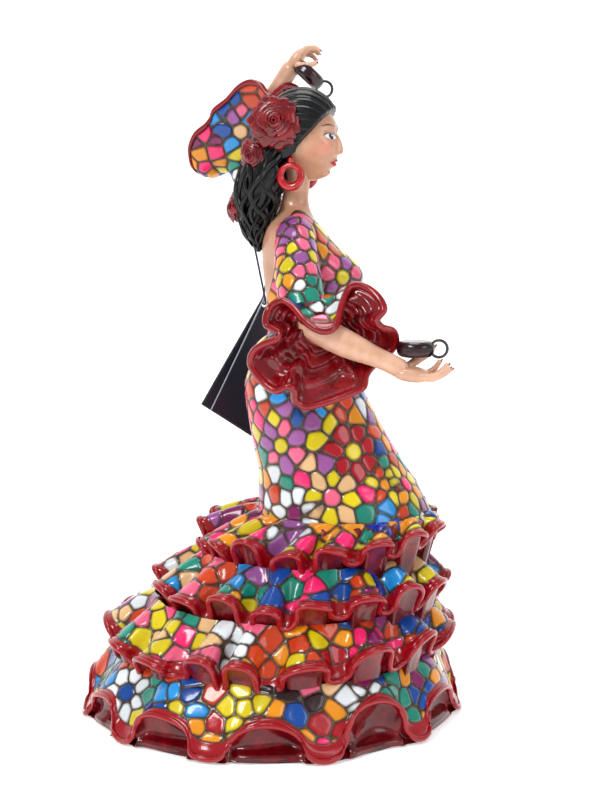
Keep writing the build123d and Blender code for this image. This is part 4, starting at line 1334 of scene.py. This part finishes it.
cap = skull(count(236), count(240), 0.0)
cap_depth = into_hair(cap)
sweep_angle = np.arctan2(cap[..., 2] + 4, cap[..., 1] * 1.15)
strand = 1.5 * np.sin(34 * sweep_angle + 1.4 * np.sin(cap[..., 0] * 0.22 + 3 * sweep_angle)) * 0.55 \
    + 0.45 * np.sin(83 * sweep_angle + 2.2 * np.sin(cap[..., 0] * 0.31))
tucked = -1.8 - 5.5 * smooth_step(-2, -14, cap[..., 2])
thick = tucked + (2.4 + 0.22 * strand - tucked) * smooth_step(-1.0, 1.3, cap_depth)
thick = thick + 0.5 * smooth_step(2, 12, cap_depth)
thick = np.where(cap[..., 2] < -9, np.minimum(thick, 2.4 - 6 * smooth_step(-9, -18, cap[..., 2])), thick)
outwards = cap / head_half ** 2
outwards /= np.linalg.norm(outwards, axis=-1, keepdims=True)
cap = cap + outwards * thick[..., None]
hair_lots = [(from_head(cap).reshape(-1, 3),
              list(grid_quads(cap.shape[0], cap.shape[1], False, True)[:, ::-1])
              + [np.arange(cap.shape[1]), (np.arange(cap.shape[1]) + (cap.shape[0] - 1)
                                           * cap.shape[1])[::-1]],
              {"painted_shade": np.zeros(cap.shape[0] * cap.shape[1])})]
for k in range(side_locks):
    height = -7 + 15 * k / (side_locks - 1)
    swirl = np.linspace(0, 1, count(52))
    start_x = 3.0 + 0.4 * height
    lock_x = start_x + (-12.5 - start_x) * swirl
    lock_z = height + 1.5 - swirl ** 1.5 * (height + 9) * 0.55 - 2.0 * np.sin(swirl * math.pi)
    inside = np.clip(1 - (lock_x / (head_half[0] + 1.5)) ** 2 - (lock_z / (head_half[2] + 1.5)) ** 2, 0.02,
                     1)
    lock_y = -(head_half[1] + 1.9) * np.sqrt(inside)
    width = 0.95 * np.sin(np.linspace(0.35, 2.9, len(swirl))) ** 0.7
    for mirror in (1, -1):
        lock = from_head(np.stack([lock_x, lock_y * mirror, lock_z], axis=1))
        hair_lots.append(tube_lot(lock, width, count(12), flatten=0.7, attributes={"painted_shade": 0.0},
                                  ripple=0.1))
stands_for(joined("hair_swept_back", hair_lots, hair_paint), "painted_hair", "hair")
fall_line = curve_through([(-9, -1.5, 250), (-13.0, -2, 240), (-16.8, -3.5, 228), (-18.2, -3.5, 216),
                           (-18.6, -2.8, 206), (-17.2, -2, 198)], 200)
fall_half = curve_through([8.5, 9.6, 10.0, 8.8, 5.8, 1.2], 200)[:, 0]
core = even_steps(fall_line, count(70))
# The core under the locks carries painted shade.
fall_lots = [tube_lot(core, curve_through([7.5, 8.8, 9.0, 7.8, 4.6, 0.8], len(core))[:, 0], count(40),
                      attributes={"painted_shade": 0.5})]
for k in range(fall_locks):
    bearing = k * golden_turn
    spread = math.sqrt((k + 0.5) / fall_locks)
    start, stop = dice.uniform(0, 0.12), min(1.0, dice.uniform(0.72, 1.0) + 0.08 * (1 - spread))
    run = np.linspace(start, stop, count(74))
    index = run * 199
    middle = np.stack([np.interp(index, np.arange(200), fall_line[:, axis]) for axis in range(3)], axis=1)
    half = np.interp(index, np.arange(200), fall_half)
    wave = math.pi * 2 * run * 3.4 + bearing * 1.3
    twist = bearing + 0.9 * run + 0.30 * np.sin(wave * 0.7)
    radius = half * spread * (0.98 + 0.10 * np.sin(wave))
    lock = middle + np.stack([np.cos(twist) * radius, np.sin(twist) * radius * 0.98, 0.3 * np.sin(wave)],
                             axis=1)
    lock[:, 0] += 0.7 * np.sin(wave + 0.6) * smooth_step(0, 0.3, run)
    width = dice.uniform(1.15, 1.9) * (1 - 0.75 * ((run - start) / (stop - start)) ** 2.2)
    fall_lots.append(tube_lot(lock, width, count(16), flatten=0.75, attributes={"painted_shade": 0.0},
                              ripple=0.18))
stands_for(joined("hair_fall_of_curls", fall_lots, hair_paint), "painted_hair")

# ---------------------------------------------------------------- roses and earrings

petal_thick = 0.55                 # in mm


def petal(centre, facing, first, bearing, half_width, near, far, low, high, curl):
    """One cupped petal of a rose as a closed sheet."""
    second = np.cross(facing, first)
    across, along = count(26), count(22)
    a = np.linspace(-1, 1, across)[None]
    b = np.linspace(0, 1, along)[:, None]
    edge = 1 - 0.26 * np.abs(a) ** 2.4 + 0.045 * np.sin(a * 7 + bearing * 5)
    b = b * edge
    radius = near + (far - near) * b ** 1.3 + curl * b ** 7 * 1.2
    height = low + (high - low) * np.sin(b * math.pi * 0.62) / math.sin(math.pi * 0.62) - curl * b ** 6
    angle = bearing + a * half_width * (0.55 + 0.45 * np.sqrt(b))
    sheets = []
    for push in (petal_thick / 2, -petal_thick / 2):
        shift = push * np.sqrt(np.clip(1 - a ** 8, 0, 1)) * (1 - 0.5 * b)
        out = radius + shift
        sheets.append(centre + out[..., None] * (np.cos(angle)[..., None] * first
                                                 + np.sin(angle)[..., None] * second)
                      + (height - shift * 0.4)[..., None] * facing)
    grid = np.concatenate([sheets[0], sheets[1][::-1]], axis=0)
    rows = grid.shape[0]
    # Painted shade, darkest at the petal's foot deep in the rose.
    shade = np.broadcast_to(1 - smooth_step(0.15, 0.85, b / edge), (along, across))
    painted_shade = np.concatenate([shade, shade[::-1]], axis=0)
    return grid.reshape(-1, 3), list(grid_quads(rows, across, True, False)), {"painted_shade": painted_shade.ravel()}


def rose(name, node, facing, radius, depth, squash=1.0, shift=(0, 0, 0)):
    """Rings of petals round a bud, over the middle of a CAD node; squash narrows it sideways."""
    low, high = node_box(node)
    centre = (low + high) / 2 + np.array(shift, float)
    facing = unit(np.asarray(facing, float))
    first = unit(np.cross(facing, vec(0.2, 0.1, 1)))
    lots = []
    centre = centre - facing * depth * 0.45
    for petals, near, far, start, rise, curl, turn in (
            (6, 0.42, 0.93, 0.0, 0.85, 0.22, 0.0), (6, 0.32, 0.80, 0.05, 1.12, 0.20, 0.5),
                                                       (5, 0.22, 0.60, 0.12, 1.30, 0.15, 0.2),
            (4, 0.14, 0.42, 0.2, 1.42, 0.10, 0.7), (3, 0.06, 0.26, 0.3, 1.48, 0.06, 0.1),
                                                       (2, 0.02, 0.12, 0.4, 1.5, 0.03, 0.3)):
        for k in range(petals):
            bearing = 2 * math.pi * (k + turn) / petals + dice.uniform(-0.08, 0.08)
            grown = dice.uniform(0.9, 1.08)
            lots.append(petal(centre, facing, first, bearing, math.pi / petals * dice.uniform(1.2, 1.5),
                              near * radius,
                              far * radius * grown, start * depth, rise * depth * dice.uniform(0.88, 1.1),
                              curl * radius * 0.7))
    # The bud in the middle carries painted shade.
    bud_path = [centre + facing * depth * share for share in np.linspace(-0.25, 0.9, 12)]
    lots.append(tube_lot(np.array(bud_path), radius * np.linspace(0.62, 0.12, 12), count(24),
                         attributes={"painted_shade": 0.8}))
    if squash != 1.0:
        lots = [(np.column_stack([centre[0] + (p[:, 0] - centre[0]) * squash, p[:, 1], p[:, 2]]), q, a)
                for p, q, a in lots]
    return stands_for(joined(name, lots, crimson_paint), "painted_crimson", node)


rose("large_rose", "rose_large", (-0.12, -1, 0.10), 10.0, 5.4)
rose("medium_rose", "rose_medium", (-0.4, -1, 0.0), 6.4, 4.2, squash=0.72, shift=(0.5, -5.0, 0.5))
rose("small_rose", "rose_small", (-1, -0.9, 0.05), 5.8, 4.4, squash=0.8, shift=(-0.6, -3.0, 0))


def earring(name, node, face_way):
    """A hoop, thicker at the bottom, under a ball stud."""
    low, high = node_box(node)
    middle_xy = (low + high)[:2] / 2
    centre = vec(middle_xy[0], middle_xy[1], low[2] + 6.0)
    face_way = unit(np.asarray(face_way, float))
    across = unit(np.cross(vec(0, 0, 1), face_way))
    columns, sides = count(96), count(28)
    turn = np.linspace(0, 2 * math.pi, columns, endpoint=False)
    wire = 1.25 + 0.55 * (1 - np.cos(turn)) / 2
    around = np.linspace(0, 2 * math.pi, sides, endpoint=False)
    out = np.sin(turn)[:, None] * across + np.cos(turn)[:, None] * vec(0, 0, 1)
    grid = (centre + 4.45 * out[:, None] + wire[:, None, None]
            * (np.cos(around)[None, :, None] * out[:, None]
            + np.sin(around)[None, :, None] * face_way * 0.95))
    lots = [(grid.reshape(-1, 3), list(grid_quads(columns, sides, True, True)),
             {"painted_shade": np.zeros(columns * sides)})]
    stud = np.array([centre + vec(0, 0, 5.2 + step) for step in np.linspace(0.2, 2.6, 16)])
    lots.append(tube_lot(stud, 1.35 * np.sin(np.linspace(0.5, 2.7, 16)) ** 0.6, count(24),
                         attributes={"painted_shade": 0.0}))
    return stands_for(joined(name, lots, hoop_paint), "painted_crimson", node)


earring("near_hoop", "earring_right", (-0.2, -1, 0))
earring("far_hoop", "earring_left", (0.2, 1, 0))

# ---------------------------------------------------------------- swing tag and its string

card_long, card_short = 56.0, 37.0  # in mm
corner_above_hole = 3.8
diagonal = math.hypot(card_long, card_short)
up_long, up_short = card_long / diagonal, card_short / diagonal
long_way = tag_right * up_short + vec(0, 0, 1) * up_long
short_way = -tag_right * up_long + vec(0, 0, 1) * up_short
card_corner = tag_hole + vec(0, 0, corner_above_hole)


def card_leaf(middle, thickness, inset, bow):
    """One leaf of the folded card, its free corner set in by inset. A leaf that is set in also has a
    fine silver line along its long edge and a small gold block."""
    columns, rows = count(150), count(100)
    a = np.linspace(0, 1, columns)[None]
    b = np.linspace(0, 1, rows)[:, None]
    down_long = a * card_long * np.ones_like(b)
    down_short = b * card_short * np.ones_like(a)
    shrink = inset * a * (1 - b)
    down_short = down_short + shrink
    flat = card_corner - down_long[..., None] * long_way - down_short[..., None] * short_way
    bend = bow * np.sin(math.pi * a) * (1 - b)
    sheets = [flat + swing_axis * (middle + bend + push * thickness / 2)[..., None] for push in (-1, 1)]
    grid = np.stack(sheets, axis=0)
    points = grid.reshape(-1, 3)
    one = grid_quads(rows, columns, False, False)
    polygons = list(one) + list(one[:, ::-1] + rows * columns)
    rim_index = np.concatenate([np.arange(columns), np.arange(1, rows) * columns + columns - 1,
                                (rows - 1) * columns + np.arange(columns - 2, -1, -1),
                                np.arange(rows - 2, 0, -1) * columns])
    after = np.roll(rim_index, -1)
    polygons += list(np.stack([rim_index, rim_index + rows * columns, after + rows * columns, after],
                              axis=1))
    edge = np.minimum(np.minimum(a * card_long, (1 - a) * card_long), np.minimum(b, 1 - b) * card_short)
    hole = np.linalg.norm(flat - tag_hole, axis=-1)
    keep = hole.ravel() > 1.7
    wear = smooth_step(1.2, 0.1, edge)
    silver = np.zeros_like(edge)
    if inset > 0:
        silver = smooth_step(0.55, 0.35, b * card_short * np.ones_like(a))
    gold = ((np.abs(a - 0.64) < 0.05) & (np.abs(b - 0.80) < 0.10)).astype(float) * (inset > 0)
    values = {"silver": silver, "gold": gold, "wear": wear}
    values = {key: np.concatenate([v.ravel(), v.ravel()]) for key, v in values.items()}
    far_enough = np.concatenate([keep, keep])
    polygons = [p for p in polygons if far_enough[p].any()]
    return points, polygons, values


tag = joined("folded_tag", [card_leaf(-0.55, 0.6, 4.7, -0.25), card_leaf(0.55, 0.6, 0.0, 0.25)], card_paint,
             "swing_tag")
stands_for(tag, "card", "tag_card")

string_thick = 0.9                 # across the string, in mm
knot_level = 10.42                 # above the string's pivot, in mm
string_route = [(0.8, -0.75, knot_level), (-4.99, -0.75, knot_level), (-11.25, -0.75, 2.64),
                (-8.4, -0.97, -7.0), (-0.9, -1.75, -42.1), (0, -1.9, -47.5),
                (0, 1.9, -47.5), (0.9, 1.75, -42.1),
                (8.4, 0.97, -7.0), (11.25, 0.75, 2.64), (4.99, 0.75, knot_level), (-0.8, 0.75, knot_level)]
string_points = [pivot + tag_right * a + swing_axis * b + vec(0, 0, c) for a, b, c in string_route]
string_curve = bpy.data.curves.new("tag_string_loop", "CURVE")
string_curve.dimensions = "3D"
string_curve.bevel_depth = string_thick / 2 * MM
string_curve.bevel_resolution = 5
string_curve.resolution_u = 24
line = string_curve.splines.new("NURBS")
line.points.add(len(string_points) - 1)
for point, place in zip(line.points, string_points):
    point.co = (*(place * MM), 1)
line.order_u = 3
line.use_endpoint_u = True
string_curve.materials.append(string_paint)
string_loop = bpy.data.objects.new("tag_string_loop", string_curve)
bpy.context.scene.collection.objects.link(string_loop)
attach(string_loop, "string_loop")
stands_for(string_loop, "string", "tag_string")
knot_turn = np.linspace(0, 2 * math.pi, count(60))
knot_path = (pivot + vec(0, 0, knot_level + 0.6) + 1.1 * np.sin(knot_turn)[:, None] * tag_right
             + (0.75 * np.cos(knot_turn * 2))[:, None] * swing_axis
             + (0.45 * np.sin(knot_turn * 2))[:, None] * vec(0, 0, 1))
knot = joined("tag_string_knot", [tube_lot(knot_path, 0.5, count(12))], string_paint, "string_loop")
stands_for(knot, "string")
tuple(string_points[0] * MM)

# ---------------------------------------------------------------- looks for the CAD pieces kept as they are


def dress(node, paint):
    """Gives a kept CAD piece its paint."""
    piece = frame["nodes"][node]
    piece.data.materials.clear()
    piece.data.materials.append(paint)


dress("felt_pad", felt)
for grip in ("right", "left"):
    dress(grip + "_castanet_upper", castanet_paint)
    dress(grip + "_castanet_lower", castanet_paint)
    dress(grip + "_castanet_cord", cord_paint)

# ---------------------------------------------------------------- floor and light

floor_size, sweep = 3.0, 0.5
floor_line = [(-1.5, 0.0), (0.6, 0.0)]
floor_line += [(0.6 + sweep * math.sin(a),
                sweep - sweep * math.cos(a)) for a in np.radians(np.linspace(5, 90, 18))]
floor_line += [(0.6 + sweep, 2.4)]
floor_grid = np.array([[(x / MM, y / MM, (z - 0.00005) / MM) for y,
                        z in floor_line] for x in (-floor_size, floor_size)])
backdrop = shell_piece("backdrop", floor_grid, backdrop_paper(), wrap_columns=False)


def soft_light(name, place, size, power, warmth=(1, 1, 1)):
    """An area light, aimed at the figure's middle."""
    light = bpy.data.objects.new(name, bpy.data.lights.new(name, "AREA"))
    light.data.size = size
    light.data.energy = power
    light.data.color = warmth
    light.location = place
    aim = np.array([0, 0, 0.14]) - np.array(place)
    light.rotation_euler = (math.acos(-aim[2] / np.linalg.norm(aim)), 0, math.atan2(-aim[0], aim[1]))
    bpy.context.scene.collection.objects.link(light)


soft_light("key", (-0.55, -0.75, 0.9), 0.35, 7.3, (1.0, 0.99, 0.97))
soft_light("fill", (0.8, -0.6, 0.5), 0.5, 2.2, (0.97, 0.98, 1.0))
soft_light("top", (0.0, 0.15, 1.1), 0.45, 4.2)
world_strength = 0.46
world = bpy.data.worlds.new("studio")
world.use_nodes = True
world.node_tree.nodes["Background"].inputs["Color"].default_value = (1, 1, 1, 1)
world.node_tree.nodes["Background"].inputs["Strength"].default_value = world_strength
bpy.context.scene.world = world
